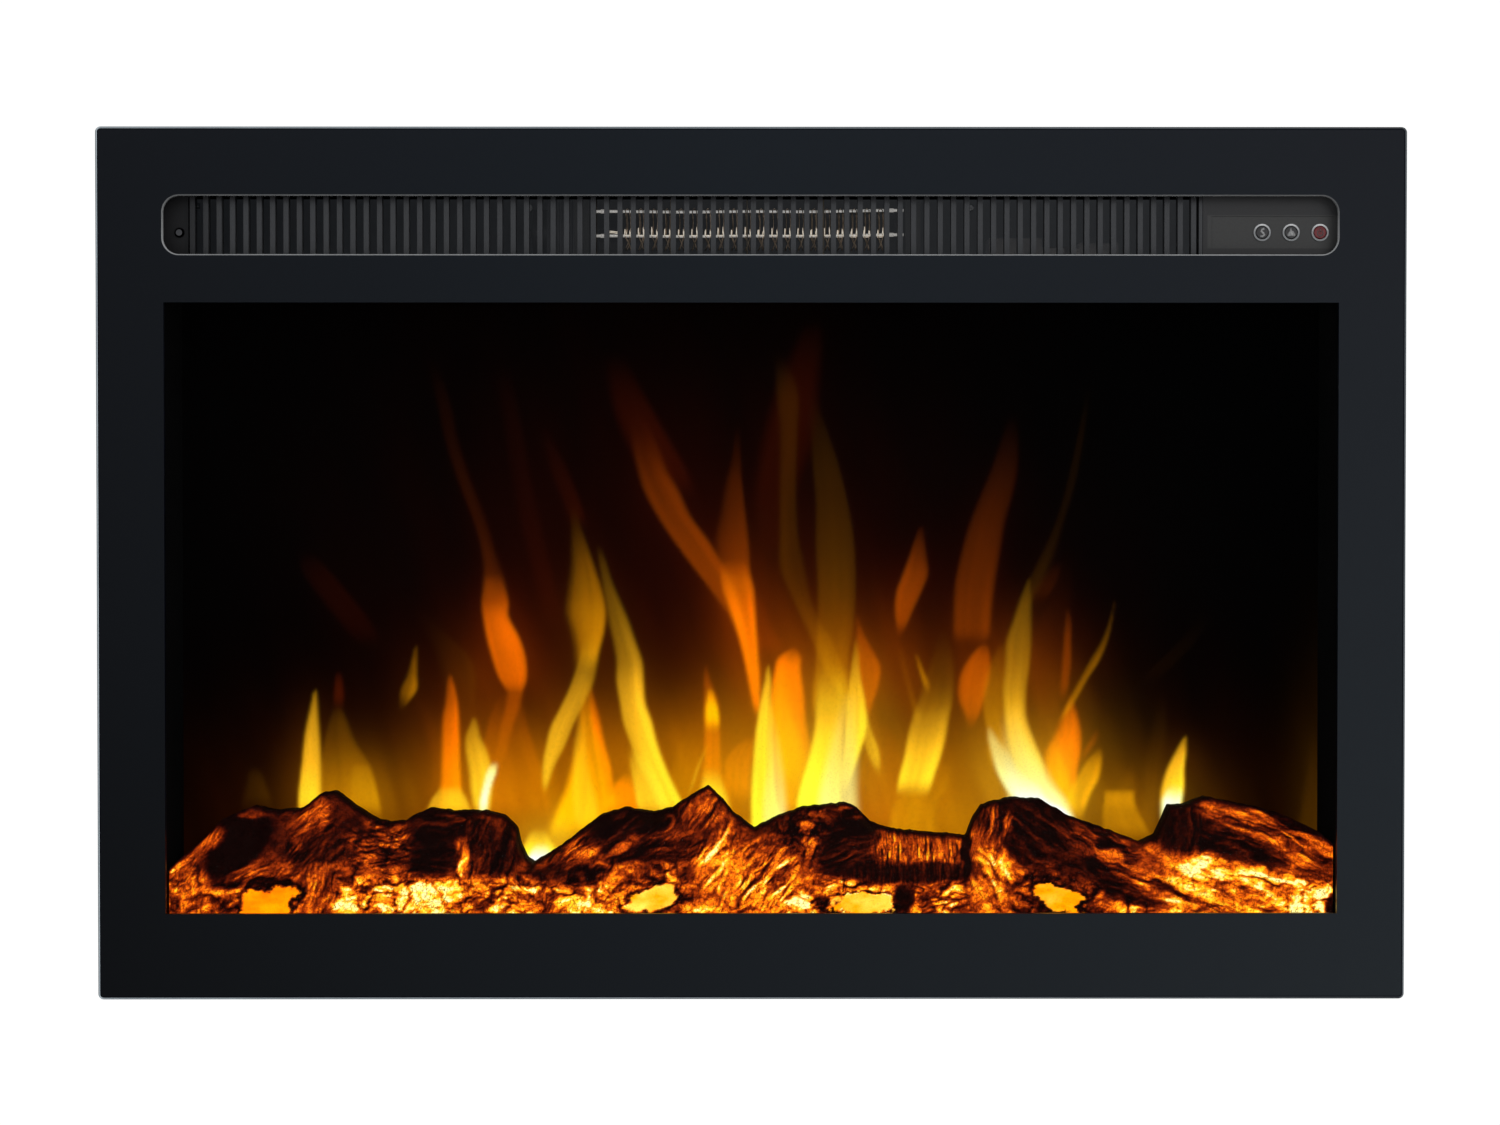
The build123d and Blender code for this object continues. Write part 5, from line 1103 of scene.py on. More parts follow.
LEFT_TONGUES = [
    ("red", 0, 5, 5, [(171, -237, -223, 0), (187, -247, -227, .05), (205, -261, -240, .06),
      (223, -273, -255, .05), (238, -276, -267, 0)]),
    ("olive", .2, 4, 3, [(75, -313, -289, .1), (87, -309, -292, .1), (98, -307, -296, .08),
      (106, -306, -300, 0)]),
    ("olive", .1, 2, 2, [(70, -264, -223, .45), (90, -264, -227, .4), (104, -262, -231, .3),
      (119, -260, -240, .2), (134, -256, -246, .14), (142, -253, -249, .03)]),
    ("olive", .3, 2, 2, [(70, -244, -223, .3), (89, -244, -227, .32), (105, -243, -232, .22),
      (106, -242, -233, 0)]),
    ("yellow", -.25, 1.5, 1.2, [(70, -276, -260, 1), (89, -275, -261, .95), (107, -273, -261, .75),
      (125, -271, -262, .62), (146, -266.5, -263.5, .42), (152, -265.5, -264, .2)]),
    ("red", 0, 2, 2, [(134, -254, -248, .06), (146, -254, -247, .15), (157, -253, -248, .12),
      (164, -252, -250, 0)]),
    ("olive", .5, 1.2, 1.2, [(136, -215, -213, .12), (143, -214, -208, .3), (151, -213, -203, .4),
      (160, -209, -203, .34), (171, -206, -203, .28), (179, -204, -203, .15)]),
    ("olive", .4, 4, 2, [(122, -186, -166, .03), (143, -187, -167, .07), (159, -189, -167, .09),
      (171, -192, -171, .07), (186, -199, -186, .04), (204, -210, -202, 0)]),
    ("yellow", .1, 2, 2, [(68, -201, -167, .8), (83, -195, -172, .75), (89, -191, -175, .55),
      (94, -189, -175, 0)]),
    ("orange", .1, 3, 2, [(70, -191, -175, .85), (95, -189, -176, .85), (130, -188, -177, .72),
      (143, -186, -178, .6), (153, -185, -180, .5), (162, -184, -183, .25)]),
    ("orange", 0, 4, 3, [(80, -197, -183, .12), (107, -195, -186, .12), (125, -199, -189, .09),
      (143, -204, -195, .04), (156, -206, -202, 0)]),
    ("yellow", .1, 2, 2, [(70, -168, -159, .9), (90, -171, -157, .85), (101, -172, -157, .75),
      (113, -174, -160, .62), (122, -174, -164, .5), (130, -171, -166, .4), (136, -169, -168, .1)]),
    ("white", 0, 1, 1, [(70, -166, -161, 1.5), (83, -165, -160, 1.5), (92, -163, -158, 1.3),
      (100, -161, -155, 1), (106, -158, -154, .4), (108, -155, -154, 0)]),
    ("orange", -.3, 2, 5, [(70, -160, -126, .34), (95, -161, -129, .32), (113, -163, -135, .26),
      (128, -161, -141, .22), (140, -157, -144, .15), (150, -151, -146, .05)]),
    ("orange", -.1, 4, 4, [(204, -164, -147, .5), (220, -163, -150, .2), (235, -164, -155, .14),
      (253, -169, -160, .1), (277, -178, -169, .085), (302, -186, -177, .06), (326, -191, -182, .045),
      (359, -199, -194, 0)]),
    ("orange", .1, 2, 2, [(142, -145, -140, .25), (150, -149, -138, .6), (159, -154, -136, .75),
      (171, -158, -137, .8), (183, -161, -141, .85), (195, -163, -147, .75), (204, -164, -147, .5),
      (213, -163, -149, .25), (223, -163, -152, 0)]),
    ("orange", 0, 3, 3, [(98, -159, -153, .2), (113, -156, -148, .3), (128, -153, -144, .34),
      (140, -150, -140, .36), (150, -149, -138, .3)]),
    ("orange", .2, 3, 4, [(67, -129, -116, .2), (83, -132, -121, .3), (101, -136, -126, .32),
      (119, -141, -132, .27), (136, -145, -137, .18), (146, -146, -140, .08)]),
    ("red", 0, 7, 6, [(180, -124, -109, 0), (204, -130, -115, .06), (235, -137, -123, .06),
      (265, -144, -130, .05), (326, -154, -141, .03), (356, -159, -146, 0)]),
    ("red", .2, 5, 4, [(247, -110, -97, .1), (265, -115, -103, .08), (283, -122, -110, .06),
      (302, -127, -119, .03), (314, -130, -124, 0)]),
]

MIDDLE_TONGUES = [
    ("white", 0, 4, 4, [(58, 6, 24, .75), (85, 7, 22, .6), (105, 9, 20, .4), (125, 9, 17, .2),
      (140, 10, 14, 0)]),
    ("white", 0, 5, 5, [(58, 38, 68, .7), (85, 40, 66, .65), (105, 44, 66, .5), (130, 50, 66, .3),
      (150, 56, 66, .1)]),
    ("olive", .55, 6, 2, [(160, -109, -95, .5), (174, -108, -92, .55), (186, -110, -89, .55),
      (198, -113, -88, .5), (210, -112, -90, .4), (226, -110, -95, .3), (238, -110, -99, .2),
      (253, -110, -104, .09), (265, -110, -106, 0)]),
    ("yellow", -.25, 2, 2, [(84, -126, -125, .3), (92, -127, -123, .7), (104, -127, -119, .72),
      (116, -125, -113, .7), (128, -122, -108, .66), (140, -116, -102, .6), (153, -110, -96, .52),
      (165, -106, -93, .4), (177, -103, -91, .2), (186, -101, -90, 0)]),
    ("amber", -.2, 5, 3, [(58, -126, -92, .9), (77, -119, -86, .95), (92, -113, -88, .9),
      (107, -109, -91, .8), (122, -106, -93, .65), (137, -105, -95, .5), (150, -103, -96, .3),
      (159, -101, -97, .05)]),
    ("yellow", 0, 3, 4, [(62, -107, -91, .6), (83, -109, -93, .55), (101, -109, -98, .5),
      (119, -108, -99, .4), (134, -105, -99, .2), (143, -104, -100, 0)]),
    ("orange", .2, 2, 2, [(70, -87, -80, .85), (89, -91, -83, .95), (104, -94, -85, .95),
      (119, -97, -89, .85), (134, -99, -92, .65), (146, -99, -95, .35), (154, -98, -97, .05)]),
    ("yellow", .3, 2, 2, [(70, -55, -35, 1), (83, -59, -42, 1), (95, -64, -48, .95), (107, -70, -53, .9),
      (119, -74, -57, .85), (131, -78, -60, .82), (143, -80, -64, .78), (156, -82, -65, .66),
      (168, -82, -66, .5), (180, -84, -70, .42), (192, -87, -74, .34), (204, -89, -79, .28),
      (216, -91, -84, .22), (229, -93, -88, .15), (241, -95, -92, 0)]),
    ("yellow", -.3, 2, 4, [(70, -68, -48, .9), (83, -70, -51, .85), (95, -72, -56, .75),
      (106, -74, -62, .55), (114, -75, -69, .2), (118, -75, -72, 0)]),
    ("orange", 0, 3, 3, [(70, -88, -67, .9), (83, -87, -68, .9), (92, -85, -70, .8), (98, -80, -71, .4),
      (102, -76, -72, 0)]),
    ("olive", 0, 3, 3, [(80, -51, -31, .35), (95, -50, -31, .22), (107, -48, -30, .16),
      (119, -44, -29, .1), (140, -33, -26, 0)]),
    ("orange", 0, 1.5, 1.5, [(77, -31, -17, .75), (95, -30, -17, .65), (113, -29, -18, .6),
      (140, -29, -19, .48), (150, -29, -22, .4), (159, -29, -25, .3), (168, -28, -27, .1)]),
    ("amber", 0, 2, 2, [(122, -28, -20, .3), (130, -28, -19, 1.1), (139, -28, -20, 1.2),
      (146, -27, -22, .9), (153, -26, -24, .3)]),
    ("yellow", 0, .6, .7, [(83, -41, -38, .5), (92, -37, -35, .5), (104, -33, -31, .45),
      (113, -29, -27, .3), (120, -25, -24, .1)]),
    ("yellow", 0, 4, 4, [(70, -34, -11, 1.2), (83, -33, -13, 1.1), (92, -31, -16, .9),
      (100, -30, -18, .4), (106, -29, -20, 0)]),
    ("red", 0, 7, 6, [(265, -63, -31, .05), (283, -68, -37, .09), (302, -77, -48, .1),
      (320, -84, -58, .09), (338, -88, -68, .06), (359, -92, -77, 0)]),
    ("orange", 0, 3, 3, [(180, -8, 0, .3), (195, -14, -4, .35), (210, -24, -8, .36),
      (226, -36, -16, .36), (241, -47, -25, .34), (256, -57, -36, .3), (271, -65, -43, .26),
      (283, -69, -50, .2), (296, -72, -55, .12), (308, -73, -60, .05), (320, -74, -65, 0)]),
    ("orange", .35, 4, 2, [(204, -17, 2, .42), (223, -20, 0, .3), (241, -22, -1, .24),
      (259, -19, -3, .19), (277, -16, -5, .15), (293, -12, -6, .09), (320, -9, -7, 0)]),
    ("orange", .1, 2, 2, [(130, 3, 5, .2), (140, 1, 6, .75), (156, -2, 6, .95), (171, -5, 5, 1),
      (186, -9, 4, .98), (201, -14, 3, .85), (213, -18, 2, .6), (224, -19, -1, .3), (232, -18, -3, 0)]),
    ("red", 0, 4, 6, [(168, 2, 23, .25), (180, 2, 19, .22), (192, 1, 12, .16), (204, 0, 8, .08),
      (213, 0, 4, 0)]),
    ("yellow", -.1, 1.5, 2, [(56, 0, 29, 1.1), (73, 0, 20, 1.15), (89, 0, 16, 1.1), (119, 2, 14, 1),
      (134, 4, 14, .95), (146, 6, 13, .85), (156, 8, 13, .7), (167, 10, 11, .4)]),
    ("orange", -.1, 2, 2, [(89, 12, 37, .6), (113, 12, 37, .8), (131, 12, 34, .95), (146, 12, 33, 1),
      (162, 14, 31, .95), (170, 16, 31, .7), (175, 22, 29, .3), (179, 26, 29, 0)]),
    ("amber", -.3, 2, 5, [(70, 16, 39, .8), (95, 15, 37, .8), (116, 14, 33, .75), (137, 14, 28, .4),
      (156, 14, 22, .1)]),
    ("orange", .1, 2, 2, [(80, -19, 0, .55), (98, -17, 0, .52), (108, -16, 1, .45), (117, -9, 2, .35),
      (124, -1, 3, 0)]),
    ("olive", -.1, 3, 2, [(140, 55, 60, .5), (153, 50, 59, .42), (165, 43, 56, .32), (180, 37, 50, .25),
      (195, 30, 41, .2), (210, 23, 36, .15), (226, 17, 33, .13), (247, 17, 29, .12), (277, 17, 28, .1),
      (308, 17, 29, .09), (332, 15, 29, .08), (359, 13, 18, 0)]),
    ("olive", .1, 2, 2, [(131, 37, 61, .5), (150, 37, 60, .42), (168, 39, 60, .32), (192, 40, 63, .22),
      (216, 40, 64, .18), (241, 39, 63, .14), (265, 39, 59, .11), (289, 37, 53, .09), (314, 36, 45, .05),
      (335, 33, 39, 0)]),
    ("red", 0, 8, 8, [(229, 5, 29, .05), (265, 0, 27, .07), (302, 6, 39, .08), (332, 14, 42, .08),
      (363, 26, 45, .04), (378, 33, 43, 0)]),
    ("yellow", -.1, 2, 2, [(70, 26, 57, 1.3), (89, 29, 55, 1.2), (107, 34, 56, 1), (125, 38, 57, .85),
      (140, 39, 59, .6), (156, 40, 60, .3), (168, 42, 60, 0)]),
    ("yellow", 0, 1.5, 1.5, [(83, 53, 57, .7), (98, 54, 62, .9), (113, 56, 67, 1), (128, 57, 71, 1),
      (143, 58, 70, .9), (159, 60, 67, .7), (174, 62, 66, .4), (185, 63, 65, 0)]),
    ("yellow", .2, 1.5, 1.2, [(95, 78, 79, .3), (104, 74, 79, .6), (114, 70, 78, .6), (125, 67, 74, .5),
      (136, 65, 71, .3), (143, 65, 68, 0)]),
    ("orange", .2, 2, 2, [(126, 69, 71, .1), (140, 67, 74, .45), (153, 65, 78, .5), (165, 64, 79, .48),
      (177, 64, 73, .4), (187, 64, 68, .3), (197, 64, 65, .1)]),
    ("orange", 0, 5, 5, [(60, 60, 98, .38), (83, 60, 96, .34), (107, 66, 93, .26), (125, 71, 88, .14),
      (137, 73, 83, 0)]),
]

RIGHT_TONGUES = [
    ("white", 0, 6, 6, [(58, 158, 200, 1.3), (80, 157, 194, 1.15), (95, 155, 184, .8),
      (115, 152, 174, .45), (132, 152, 168, .2), (145, 154, 168, 0)]),
    ("orange", -.2, 2, 2, [(179, 89, 90, .1), (189, 88, 95, .35), (199, 87, 99, .4), (210, 88, 104, .38),
      (221, 92, 108, .33), (232, 96, 107, .24), (241, 99, 106, .17), (252, 103, 105, .05)]),
    ("olive", 0, 1.2, 1.2, [(122, 105, 106, .2), (134, 99, 104, .25), (150, 95, 99, .2),
      (165, 91, 95, .15), (177, 89, 92, .08)]),
    ("olive", 0, 1, 1.2, [(145, 109, 110, .2), (153, 105, 109, .45), (163, 102, 105, .4),
      (171, 100, 102, .25), (175, 99, 100, 0)]),
    ("yellow", .1, 1.5, 2, [(84, 88, 107, .75), (87, 88, 109, 1), (98, 90, 112, .95),
      (110, 93, 116, .85), (122, 95, 119, .65), (134, 98, 121, .45), (143, 101, 123, .28),
      (156, 105, 124, .16), (171, 110, 123, .1), (192, 116, 119, 0)]),
    ("olive", 0, 4, 3, [(50, 81, 112, .5), (70, 84, 112, .45), (84, 88, 115, .35), (92, 102, 121, .25),
      (107, 112, 124, .1)]),
    ("olive", 0, 5, 5, [(50, 105, 145, .35), (73, 109, 142, .3), (95, 115, 136, .15),
      (119, 121, 132, .05)]),
    ("orange", 0, 3, 3, [(175, 125, 143, .1), (183, 123, 146, .27), (198, 123, 147, .28),
      (216, 124, 149, .24), (235, 128, 152, .2), (253, 133, 155, .16), (271, 140, 160, .12),
      (289, 147, 163, .08), (323, 157, 163, 0)]),
    ("orange", -.1, 2, 2, [(123, 132, 133, .1), (134, 130, 139, .4), (146, 126, 143, .5),
      (159, 127, 146, .5), (171, 133, 146, .42), (180, 141, 144, .15)]),
    ("olive", -.1, 2, 2, [(101, 145, 163, .5), (125, 143, 157, .4), (140, 141, 155, .35),
      (156, 142, 155, .3), (171, 147, 155, .18), (183, 153, 157, 0)]),
    ("yellow", 0, 2, 2, [(70, 164, 188, 1), (89, 163, 181, 1), (104, 160, 179, 1), (119, 156, 173, .9),
      (134, 154, 168, .8), (150, 153, 168, .58), (165, 154, 170, .46), (180, 155, 171, .38),
      (195, 160, 171, .3), (207, 164, 171, .22), (220, 169, 170, .1)]),
    ("white", -.2, 2, 3, [(70, 163, 188, 1), (83, 160, 181, 1), (92, 154, 175, .9), (102, 149, 164, .7),
      (113, 146, 157, .55), (122, 144, 150, .45), (130, 144, 145, .1)]),
    ("white", 0, 3, 3, [(60, 157, 200, 2), (75, 158, 195, 1.8), (84, 160, 181, 1.5), (91, 162, 177, .6),
      (98, 164, 174, 0)]),
    ("amber", 0, 4, 4, [(70, 175, 203, .9), (89, 177, 197, .8), (101, 178, 194, .6), (113, 179, 190, .3),
      (122, 181, 188, 0)]),
    ("orange", 0, 4, 2, [(80, 178, 200, .7), (98, 178, 199, .8), (113, 179, 201, .8),
      (125, 185, 201, .7), (136, 189, 199, .55), (143, 192, 197, .3), (150, 193, 195, 0)]),
    ("orange", 0, 2, 2, [(104, 199, 203, .3), (113, 202, 207, .3), (120, 206, 211, .22),
      (128, 210, 213, .05)]),
    ("olive", .2, 1.2, 1.2, [(127, 184, 186, .15), (136, 189, 193, .42), (146, 194, 199, .4),
      (157, 200, 205, .36), (168, 206, 212, .34), (180, 213, 217, .26), (193, 218, 220, .18),
      (207, 221, 222, .05)]),
    ("olive", 0, 3, 3, [(180, 154, 164, .02), (198, 160, 169, .08), (216, 168, 178, .1),
      (235, 177, 186, .07), (253, 185, 191, .055), (277, 192, 198, .05), (308, 199, 203, .045),
      (344, 206, 208, 0)]),
    ("orange", 0, 2, 2, [(198, 164, 175, .05), (210, 171, 183, .1), (221, 179, 188, .08),
      (231, 186, 190, 0)]),
    ("orange", 0, 2, 2, [(140, 188, 190, .1), (150, 188, 193, .32), (165, 189, 195, .34),
      (180, 190, 195, .3), (192, 191, 195, .2), (202, 192, 193, .05)]),
    ("orange", 0, 5, 5, [(95, 171, 192, .2), (119, 173, 190, .16), (143, 171, 190, .12),
      (174, 169, 192, .07), (204, 179, 196, .05), (241, 192, 197, 0)]),
    ("olive", .2, 2, 2, [(70, 188, 202, .7), (86, 192, 207, .7), (96, 197, 212, .65),
      (106, 203, 214, .5), (113, 209, 214, .25), (117, 212, 213, 0)]),
    ("olive", .2, 2, 2, [(83, 224, 236, .16), (92, 225, 235, .13), (101, 228, 234, .08),
      (108, 230, 233, 0)]),
    ("olive", .1, 1.2, 2, [(55, 215, 248, .4), (75, 214, 237, .42), (83, 215, 234, .55),
      (89, 215, 234, .42), (91, 216, 234, 0)]),
    ("yellow", .2, 2, 1.2, [(70, 250, 261, 1.1), (83, 249, 263, 1.1), (92, 250, 264, 1),
      (102, 253, 264, .85), (112, 258, 265, .7), (119, 262, 265, .5), (124, 265, 266, .1)]),
    ("white", 0, 2, 1.2, [(65, 250, 261, 1.5), (81, 250, 262, 1.5), (86, 251, 263, 1),
      (91, 253, 263, .3), (95, 256, 263, 0)]),
    ("olive", -.1, 4, 3, [(58, 233, 248, .16), (83, 237, 249, .13), (104, 239, 251, .09),
      (125, 243, 254, .06), (153, 249, 253, 0)]),
    ("olive", 0, 3, 3, [(150, 233, 242, 0), (162, 242, 254, .03), (177, 257, 269, .028),
      (192, 269, 278, .015), (204, 276, 281, 0)]),
    ("olive", 0, 4, 4, [(50, 327, 355, .1), (70, 333, 354, .1), (89, 336, 354, .085),
      (113, 339, 353, .05), (153, 341, 351, 0)]),
    ("yellow", 0, 2, 2, [(36, -140, -116, 1.2), (49, -141, -116, 1.3), (55, -139, -119, 1.1),
      (62, -136, -123, .6), (67, -133, -125, .2)]),
    ("white", 0, 3, 3, [(34, -138, -119, 2), (46, -137, -119, 2), (51, -135, -121, 1.5),
      (56, -132, -123, .5), (59, -130, -125, 0)]),
    ("olive", 0, 7, 7, [(50, -126, -68, .5), (70, -123, -68, .4), (89, -116, -80, .12)]),
    ("olive", 0, 6, 6, [(50, -10, 29, .5), (73, -8, 23, .3)]),
]


def smooth_run(stations):
    """Stations joined by a curve that passes through each."""
    steps = 8
    points = np.array(stations, float)
    padded = np.vstack([2 * points[0] - points[1], points, 2 * points[-1] - points[-2]])
    run = []
    for a, b, c, d in zip(padded, padded[1:], padded[2:], padded[3:]):
        for k in range(steps):
            t = k / steps
            run.append(0.5 * (2 * b + (c - a) * t + (2 * a - 5 * b + 4 * c - d) * t ** 2 +
                              (3 * b - a - 3 * c + d) * t ** 3))
    run.append(points[-1])
    run = np.array(run)
    return run[np.argsort(run[:, 0], kind="stable")]


def blurred(field, reach):
    """A field softened by a bell curve, whose reach is counted in grid steps."""
    count = int(reach * 2.5) + 1
    bell = np.exp(-0.5 * (np.arange(-count, count + 1) / reach) ** 2)
    bell = bell / bell.sum()
    for axis in (0, 1):
        field = np.apply_along_axis(lambda line: np.convolve(line, bell, mode="same"), axis, field)
    return field


def tongue_light(px, pz, run, lean, softness, index):
    """How strongly one tongue lights points of the screen, with soft edges and streaks like silk."""
    left_soft, right_soft = softness
    left, right, glow = (np.interp(pz, run[:, 0], run[:, k]) for k in (1, 2, 3))
    wide = np.maximum(right - left, 0.3)
    across = (px - left) / wide
    edge = (ease((px - left) / np.minimum(left_soft, wide / 2) + 0.25) *
            ease((right - px) / np.minimum(right_soft, wide / 2) + 0.25))
    edge = edge * ease((pz - run[0, 0]) / 14) * ease((run[-1, 0] - pz) / 4)
    shade = 1 + 1.3 * lean * (2 * np.clip(across, 0, 1) - 1)
    height = (pz - run[0, 0]) * 0.012 + index
    silk = 0.55 + 0.45 * value_noise(across * 2.6 + index * 7.3, height, index)
    silk = silk + 0.32 * value_noise(across * 7.5 + index * 3.1, height * 1.5, index + 50)
    silk = silk + 0.18 * value_noise(across * 16 + index * 5.7, height * 2.5, index + 90)
    low_glow = 1 + 0.45 * ease((190 - pz) / 90)
    return edge * np.clip(glow, 0, None) ** 1.75 * shade * silk * low_glow


def flame_light(x, z):
    """Linear colour of the light on the screen, at even grids of x and z in mm."""
    keep = np.ones(x.shape + (3,))
    for middle_x, middle_z, half_x, half_z, hue, strength in MIST:
        fold = 0.30 + 1.4 * cloud((x + 0.25 * z) / 17 + middle_x, z / 75, 7, 3)
        amount = strength * fold * np.exp(-((x - middle_x) / half_x) ** 2 - ((z - middle_z) / half_z) ** 2)
        keep *= 1 - amount[..., None] * np.array(HUES[hue])
    tongues = LEFT_TONGUES + MIDDLE_TONGUES + RIGHT_TONGUES
    for index, (hue, lean, left_soft, right_soft, stations) in enumerate(tongues):
        left_soft, right_soft = 1.25 * left_soft + 0.6, 1.25 * right_soft + 0.6
        run = smooth_run(stations)
        reach = ((z > run[0, 0]) & (z < run[-1, 0]) & (x > run[:, 1].min() - left_soft) &
                 (x < run[:, 2].max() + right_soft))
        amount = tongue_light(x[reach], z[reach], run, lean, (left_soft, right_soft), index)
        keep[reach] *= 1 - np.clip(amount[:, None] * np.array(HUES[hue]), 0, 0.97)
    step = x[0, 1] - x[0, 0]
    sharp = blurred(1 - keep, BLUR_REACH / step)
    bloom = np.array(BLOOM) * blurred(sharp, BLOOM_REACH / step)
    return 1 - (1 - sharp) * (1 - bloom)


def flame_screen():
    """The translucent screen, with the light of the flames on its front."""
    low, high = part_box("flame_screen")
    columns = int((high.x - low.x) / MM / SCREEN_STEP) + 1
    rows = int((high.z - low.z) / MM / SCREEN_STEP) + 1
    x, z = np.meshgrid(np.linspace(low.x, high.x, columns), np.linspace(low.z, high.z, rows))
    front = np.stack([x, np.full(x.shape, low.y), z], -1).reshape(-1, 3)
    outline = list(range(columns)) + [r * columns + columns - 1 for r in range(1, rows)]
    outline += [(rows - 1) * columns + c for c in range(columns - 2, -1, -1)]
    outline += [r * columns for r in range(rows - 2, 0, -1)]
    rear = front[outline] + np.array([0, high.y - low.y, 0])
    first_rear = len(front)
    count = len(outline)
    sides = [(outline[(k + 1) % count], outline[k], first_rear + k, first_rear + (k + 1) % count)
             for k in range(count)]
    back = [tuple(range(first_rear + count - 1, first_rear - 1, -1))]
    faces = [tuple(q) for q in grid_faces(rows, columns)] + sides + back
    points = np.vstack([front, rear])
    piece = add_piece("flame_picture_screen", points, faces, "flame_light", smooth=False)
    set_colours(piece.data, "glow", front_values(flame_light(x / MM, z / MM), len(points), 0.0))
    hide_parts("flame_screen")


def flame_finish():
    """Black matt screen plastic that shows the moving light thrown on it."""
    made = Finish("flame_light")
    fine = made.noise(1100, 3, 0.7)
    made.paint(fine, [(0.3, (0.0003, 0.0003, 0.0003)), (0.7, (0.0007, 0.0007, 0.0007))])
    grain = made.ramp(made.span(fine, 0.80, 1.20, 0.25, 0.75), BLACK_TO_WHITE)
    made.link(made.mix(1.0, made.attribute("glow", "Color"), grain, "MULTIPLY"), "Emission Color")
    made.roughen(fine, 0.85, 0.98)
    return made.bump(fine, 0.02).set(Specular_IOR_Level=0.0, Emission_Strength=1.1)


FINISHES["flame_light"] = flame_finish()
flame_screen()

# -------- the heater


def tube(points, radius):
    """A closed round bar along points in metres, with a radius or one for each point."""
    sides = 8
    points = np.array(points, float)
    ahead = np.gradient(points, axis=0)
    side = np.cross(ahead, (0.0, 1.0, 0.0))
    side /= np.linalg.norm(side, axis=1)[:, None]
    up = np.cross(side, ahead)
    up /= np.linalg.norm(up, axis=1)[:, None]
    turn = np.linspace(0, 2 * math.pi, sides, endpoint=False)[None, :, None]
    reach = (np.zeros(len(points)) + radius)[:, None, None]
    rings = points[:, None] + reach * (side[:, None] * np.cos(turn) + up[:, None] * np.sin(turn))
    last = (len(points) - 1) * sides
    faces = [tuple(range(sides - 1, -1, -1)), tuple(range(last, last + sides))]
    for r in range(len(points) - 1):
        for k in range(sides):
            a, b = r * sides + k, r * sides + (k + 1) % sides
            faces.append((a, b, b + sides, a + sides))
    return rings.reshape(-1, 3), faces


def add_bars(name, bars, finishes, body="root"):
    """One piece from several closed bars, each (points, radius, finish number)."""
    bm = bmesh.new()
    for points, radius, number in bars:
        places, faces = tube(points, radius)
        verts = [bm.verts.new(p) for p in places]
        for face in faces:
            made = bm.faces.new([verts[k] for k in face])
            made.material_index = number
            made.smooth = len(face) == 4
    bmesh.ops.recalc_face_normals(bm, faces=bm.faces)
    return finish_mesh(bm, name, finishes, body)


# The rods in mm: their radius, sag and rise with the lengths they go over, insets of the lower and upper
# rod in their box, and the radius, inset and half length of a collar.
ROD, SAG, SAG_LENGTH, RISE, RISE_LENGTH = 0.828, 0.35, 26, 0.7, 90
LOWER_ROD, UPPER_ROD, COLLAR, COLLAR_INSET, COLLAR_HALF = 1.3, 1.75, 1.15, 7.0, 1.2

# The wire in mm: radii of wire and tip, number, pitch and half width of its folds, place of the last one,
# how far they end inside the rods' box, height of the leads above that, and inset of the banks.
WIRE, TIP, FOLDS, FOLD_PITCH, FOLD_HALF, LAST_FOLD = 0.26, 0.34, 20, 7.83, 1.45, 76.0
FOLD_BELOW_TOP, FOLD_ABOVE_FOOT, LEAD_RISE, BANK_INSET = 1.6, 1.4, 2.4, 0.8


def rod_height(middle, x):
    """The rods sag a little between the cards and rise towards their right-hand end."""
    sag = SAG * MM * math.sin(x / (SAG_LENGTH * MM)) ** 2
    return middle - sag + RISE * MM * float(ease(x / (RISE_LENGTH * MM)))


def heater_rods():
    """Two bright rods, with a faint painted glow, and a collar on each end."""
    low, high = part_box("heater_rods")
    y = (low.y + high.y) / 2
    bars = []
    for middle in (low.z + LOWER_ROD * MM, high.z - UPPER_ROD * MM):
        line = [(x, y, rod_height(middle, x)) for x in np.linspace(low.x, high.x, 47)]
        bars.append((line, ROD * MM, 0))
        for end in (low.x + COLLAR_INSET * MM, high.x - COLLAR_INSET * MM):
            z = rod_height(middle, end)
            collar = [(end + reach * MM, y, z) for reach in (-COLLAR_HALF, 0, COLLAR_HALF)]
            bars.append((collar, COLLAR * MM, 0))
    piece = add_bars("heater_rod_pair", bars, ("bright_rod",))
    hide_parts("heater_rods")


def wire_fold(middle, y, upper, lower, reach, rng):
    """One fold of wire: two bowed legs with crimped tips bright with a painted glint, crossed tails, and a
    bend at each end.
    """
    bottom, top = reach
    half, wire, tip = FOLD_HALF * MM, WIRE * MM, TIP * MM
    bow = rng.uniform(0.3, 0.8) * MM
    bars = []
    for side in (-1, 1):
        x = middle + side * half
        leg = [(x - side * 0.25 * MM + bow * math.sin(math.pi * t), y, upper + (lower - upper) * t)
               for t in np.linspace(0, 1, 8)]
        bars.append((leg, wire, 0))
        long_tip = rng.uniform(3.0, 5.2) * MM
        crimp = [(x, y, lower + rise) for rise in (long_tip, long_tip * 0.5, -0.5 * MM)]
        bars.append((crimp, np.array([0.6, 1.0, 0.8]) * tip, 1))
        tail = [(x - side * 2 * half * t + bow * 0.6 * math.sin(math.pi * t), y + side * 0.3 * MM,
                 lower - 0.5 * MM + (bottom + 0.5 * MM - lower + 0.5 * MM) * t)
                for t in np.linspace(0, 1, 6)]
        bars.append((tail, wire, 0))
    low_bend = [(middle - half, y, lower), (middle, y, lower - 0.15 * MM), (middle + half, y, lower)]
    high_bend = [(middle - half, y, upper), (middle, y, top - wire), (middle + half, y, upper)]
    return bars + [(low_bend, tip * 0.7, 1), (high_bend, wire, 0)]


